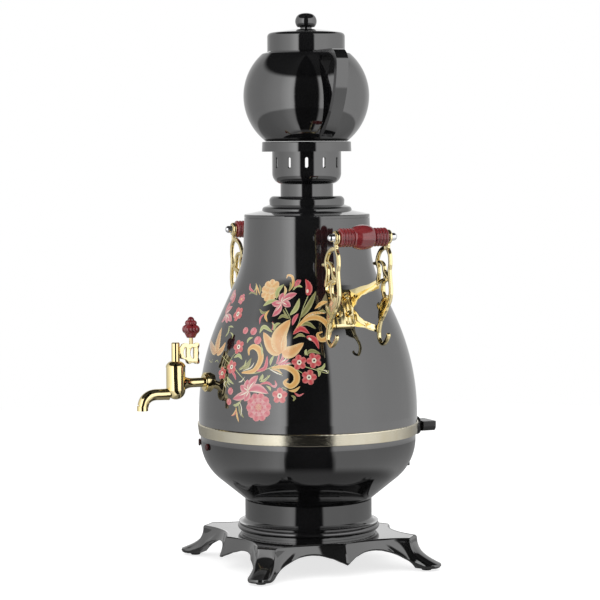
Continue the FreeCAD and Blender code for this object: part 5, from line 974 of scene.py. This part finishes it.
def paint_ornament():
    """All strokes of the print, from the back layer to the front."""
    art = Ornament()
    for points in STEMS:
        art.from_drawing(points, 0.9, width_stem, "green", 0, rows=20, columns=2)
    for paint, width, points in LEAVES:
        art.from_drawing(points, width * 1.3, width_leaf, paint, 1)
    for paint, width, points, shape in ORANGE_STROKES:
        art.from_drawing(points, width, shape, paint, 2, rows=40 if shape is width_scroll else 14)
    for paint, width, points in RED_STROKES:
        art.from_drawing(points, width * 1.3, width_leaf, paint, 2)

    for paint, width, points in FINE_STROKES:
        art.from_drawing(points, width, width_leaf, paint, 2, rows=10, columns=4)

    # Scalloped orange flower with a pink lily in front
    art.ruffle(592, 185, 8.6, 9, 7.4, "orange", 1, 0.2)
    art.ruffle(592, 185, 3.6, 6, 7.4, "orange", 2)
    heart = art.ruffle(600, 190, 0.1, 1, 7.6, "yellow", 3)
    for ring, dots in ((0.1, 1), (1.3, 6), (2.6, 11)):
        for k in range(dots):
            art.blob(heart, FULL / dots * k, ring, 0.75, 0.75, "rose", 4)
    art.from_drawing([(645, 262), (655, 190), (712, 128)], 5.2, width_leaf, "green", 3)
    art.from_drawing([(700, 250), (726, 190), (714, 140)], 3.0, width_leaf, "yellow", 3)
    art.from_drawing([(522, 326), (585, 285), (665, 278)], 4.6, width_leaf, "green", 3)
    paint_lily(art, (690, 292), ((828, 210), (770, 330), (606, 420), (706, 205), (600, 300)), 7.2)

    # Orange lotus with its bud dots
    art.from_drawing([(690, 745), (600, 690), (526, 560)], 13.5, width_drop, "orange", 3)
    art.from_drawing([(690, 745), (780, 735), (890, 656)], 13.0, width_drop, "orange", 3)
    art.from_drawing([(690, 750), (668, 600), (768, 446)], 18.0, width_drop, "orange", 4)
    art.from_drawing([(688, 735), (690, 650), (740, 520)], 0.8, width_leaf, "yellow", 5, columns=2)
    for x, y in POLLEN:
        art.blob(drawn(x, y), 0, 0, 0.9, 0.9, "yellow", 6)

    # Peony with a lily above it
    art.ruffle(480, 1235, 10.8, 10, 9.0, "rose", 2, 0.1, 1.05)
    art.ruffle(480, 1235, 6.0, 8, 8.6, "pink", 3, 0.5)
    art.ruffle(480, 1235, 3.0, 6, 6.0, "rose", 4)
    bloom = drawn(482, 1235)
    for ring, dots in ((0.1, 1), (1.6, 6), (3.0, 10)):
        for k in range(dots):
            art.blob(bloom, FULL / dots * k + ring, ring, 1.2, 0.9, "yellow", 5)
    paint_lily(art, (392, 1085), ((478, 950), (250, 1162), (318, 1040), (385, 985), (352, 1180)), 8.6)
    art.from_drawing([(392, 1090), (470, 1062), (572, 1112)], 9.0, width_leaf, "pink", 5)
    art.from_drawing([(400, 1092), (470, 1100), (560, 1116)], 1.0, width_leaf, "cream", 6, columns=2)

    # Buds with a white spark
    art.from_drawing([(926, 232), (936, 150), (904, 82)], 7.4, width_drop, "red", 3)
    art.blob(drawn(922, 190), 1.5, 0, 4.4, 2.4, "cream", 5)
    art.from_drawing([(912, 600), (990, 630), (1026, 712)], 6.0, width_drop, "red", 3)
    art.blob(drawn(944, 622), 2.5, 0, 4.4, 2.4, "cream", 5)

    for x, y, size in ((848, 832, 8.2), (982, 815, 8.2), (936, 966, 8.2), (672, 1132, 8.6), (303, 692, 7.6),
                       (240, 872, 7.4), (155, 930, 7.0), (297, 396, 7.8)):
        art.small_flower(x, y, size, 0.3 + x % 7 * 0.2)
    for x, y, size in ((365, 546, 3.8), (438, 552, 4.2), (475, 634, 4.5), (230, 1090, 4.0), (216, 1186, 3.7)):
        art.berry(x, y, size)

    # Pink cluster near the front
    art.from_drawing([(236, 300), (262, 250), (266, 178)], 8.0, width_drop, "rose", 3)
    art.ruffle(330, 262, 3.4, 5, 5.0, "rose", 3)
    art.ruffle(252, 226, 3.8, 5, 5.4, "pink", 3)
    for x, y in ((330, 262), (252, 226)):
        art.blob(drawn(x, y), 0, 0, 3.0, 3.0, "orange", 5)
    art.from_drawing([(232, 296), (205, 340), (186, 404)], 9.0, width_drop, "rose", 3)
    paint_lily(art, (186, 400), ((150, 470), (200, 478), (240, 462), (250, 330)), 6.6)
    return art


def repeat_on_left(art):
    """The strokes well to the right of the tap again on its left."""
    copy = bmesh.ops.duplicate(art.mesh, geom=art.far_side)
    verts = [part for part in copy["geom"] if isinstance(part, bmesh.types.BMVert)]
    faces = [part for part in copy["geom"] if isinstance(part, bmesh.types.BMFace)]
    bmesh.ops.scale(art.mesh, verts=verts, vec=(-1, 1, 1))
    bmesh.ops.reverse_faces(art.mesh, faces=faces)


def print_finish():
    """Enamel paint under the same clear coat as the vessel."""
    material, shade = new_material("enamel_paint")
    paint = shade.node("ShaderNodeVertexColor", layer_name="paint")
    wear = shade.noise(160, 4)
    tone = shade.node("ShaderNodeMix", data_type="RGBA", blend_type="MULTIPLY")
    shade.feed(tone.inputs["Factor"], shade.spread(wear, 0.35, 0.75, 0.0, 0.35))
    shade.link(paint.outputs["Color"], tone.inputs["A"])
    tone.inputs["B"].default_value = (0.8, 0.72, 0.62, 1)
    shade.principled(Base_Color=tone.outputs["Result"], Roughness=shade.spread(wear, 0.3, 0.7, 0.12, 0.22),
                     Coat_Weight=1.0, Coat_Roughness=0.02, Coat_IOR=1.6)
    return material


def make_ornament():
    art = paint_ornament()
    repeat_on_left(art)
    for face in art.mesh.faces:
        face.smooth = True
        middle = face.calc_center_median()
        if face.normal.dot(Vector((middle.x, middle.y, 0))) < 0:
            face.normal_flip()
    bmesh.ops.scale(art.mesh, verts=art.mesh.verts, vec=(MM, MM, MM))
    piece = finished_piece("vessel_ornament", art.mesh, print_finish(), "stand", "enamel_black")
    return piece


make_ornament()

# Studio: white surroundings with a dark gap around the camera, white floor that keeps the shadow

FRONT = (math.sin(CAMERA_TURN), -math.cos(CAMERA_TURN), 0)
RIGHT = (math.cos(CAMERA_TURN), math.sin(CAMERA_TURN), 0)
SURROUND = ((-180, 0.95), (-166, 0.5), (-130, 0.52), (-90, 0.85), (-50, 1.35), (-29, 2.1), (-24, 1.9),
            (-20.5, 0.02), (22, 0.02), (26, 1.5), (60, 1.45), (95, 1.1), (130, 0.62), (166, 0.5), (180, 0.95))


def surround_level(shade, direction):
    """Brightness of the white walls around the samovar, with a dark gap on the camera's side."""
    angle = shade.node("ShaderNodeMath", operation="ARCTAN2")
    shade.link(shade.dot(direction, RIGHT), angle.inputs[0])
    shade.link(shade.dot(direction, FRONT), angle.inputs[1])
    turn = shade.math("ADD", shade.math("DIVIDE", angle.outputs[0], FULL), 0.5)
    return shade.ramp(turn, [((a + 180) / 360, (v, v, v)) for a, v in SURROUND])


def make_world():
    world = bpy.data.worlds.new("studio")
    scene.world = world
    world.use_nodes = True
    shade = Shader(world.node_tree)
    direction = shade.node("ShaderNodeTexCoord").outputs["Generated"]
    height = shade.dot(direction, (0, 0, 1))
    open_top = shade.spread(height, 0.54, 0.66, 1.0, 0.03)
    seen = shade.math("MULTIPLY", surround_level(shade, direction), open_top)
    path = shade.node("ShaderNodeLightPath")
    glossy = path.outputs["Is Glossy Ray"]
    straight = shade.math("MAXIMUM", path.outputs["Is Camera Ray"], path.outputs["Is Transmission Ray"])
    soft = shade.spread(height, -0.4, 1.0, 0.55, 1.0)
    glossy_part = shade.math("MULTIPLY", glossy, seen)
    rest = shade.math("SUBTRACT", 1.0, shade.math("MAXIMUM", glossy, straight))
    strength = shade.math("ADD", shade.math("ADD", glossy_part, straight), shade.math("MULTIPLY", rest, soft))
    back = shade.node("ShaderNodeBackground")
    back.inputs["Color"].default_value = (1, 1, 1, 1)
    shade.link(strength, back.inputs["Strength"])
    out = shade.node("ShaderNodeOutputWorld")
    shade.link(back.outputs[0], out.inputs["Surface"])


def make_floor():
    """White table top; polished surfaces see it glow with painted light that follows the walls above each
    spot, and with a painted shadow round the samovar's foot.
    """
    mesh = bpy.data.meshes.new("floor")
    work = bmesh.new()
    bmesh.ops.create_circle(work, cap_ends=True, segments=96, radius=1.6)
    work.to_mesh(mesh)
    work.free()
    floor = bpy.data.objects.new("floor", mesh)
    scene.collection.objects.link(floor)
    material, shade = new_material("white_floor")
    diffuse = shade.node("ShaderNodeBsdfDiffuse")
    diffuse.inputs["Color"].default_value = (0.5, 0.5, 0.5, 1)
    glow = shade.node("ShaderNodeEmission")
    path = shade.node("ShaderNodeLightPath")
    seen = shade.math("MAXIMUM", path.outputs["Is Camera Ray"], path.outputs["Is Transmission Ray"])
    shade.link(shade.math("MULTIPLY", seen, 0.74), glow.inputs["Strength"])
    both = shade.node("ShaderNodeAddShader")
    shade.link(diffuse.outputs[0], both.inputs[0])
    shade.link(glow.outputs[0], both.inputs[1])
    place = shade.node("ShaderNodeTexCoord").outputs["Object"]
    painted_floor_glow = shade.node("ShaderNodeEmission")
    reach = shade.node("ShaderNodeVectorMath", operation="LENGTH")
    shade.link(place, reach.inputs[0])
    reach = reach.outputs["Value"]
    # Glossy rays see painted light here. A glow follows the walls' brightness at half strength inside 1.05 m,
    # with a painted shadow of 0.22 within about 0.2 m of the axis.
    near = shade.spread(reach, 0.17, 0.25, 0.0, 1.0)
    walls = shade.math("MULTIPLY", surround_level(shade, place), shade.spread(reach, 1.05, 1.22, 0.5, 1.0))
    shadow = shade.math("MULTIPLY", shade.math("SUBTRACT", 1.0, near), 0.22)
    shade.link(shade.math("ADD", shade.math("MULTIPLY", walls, near), shadow), painted_floor_glow.inputs["Strength"])
    mix = shade.node("ShaderNodeMixShader")
    shade.link(path.outputs["Is Glossy Ray"], mix.inputs["Fac"])
    shade.link(both.outputs[0], mix.inputs[1])
    shade.link(painted_floor_glow.outputs[0], mix.inputs[2])
    out = shade.node("ShaderNodeOutputMaterial")
    shade.link(mix.outputs[0], out.inputs["Surface"])
    mesh.materials.append(material)


def area_lamp(name, spot, aim, width, height, power):
    lamp = bpy.data.lights.new(name, "AREA")
    lamp.shape = "RECTANGLE"
    lamp.size = width
    lamp.size_y = height
    lamp.energy = power
    thing = bpy.data.objects.new(name, lamp)
    scene.collection.objects.link(thing)
    look = (Vector(aim) - Vector(spot)).normalized()
    thing.rotation_euler = look.to_track_quat("-Z", "Y").to_euler()
    thing.location = spot
    thing.visible_glossy = False
    thing.visible_camera = False


make_world()
make_floor()
area_lamp("soft_left", (1.0, -2.2, 1.6), (0, 0, 0.3), 1.2, 1.6, 14)
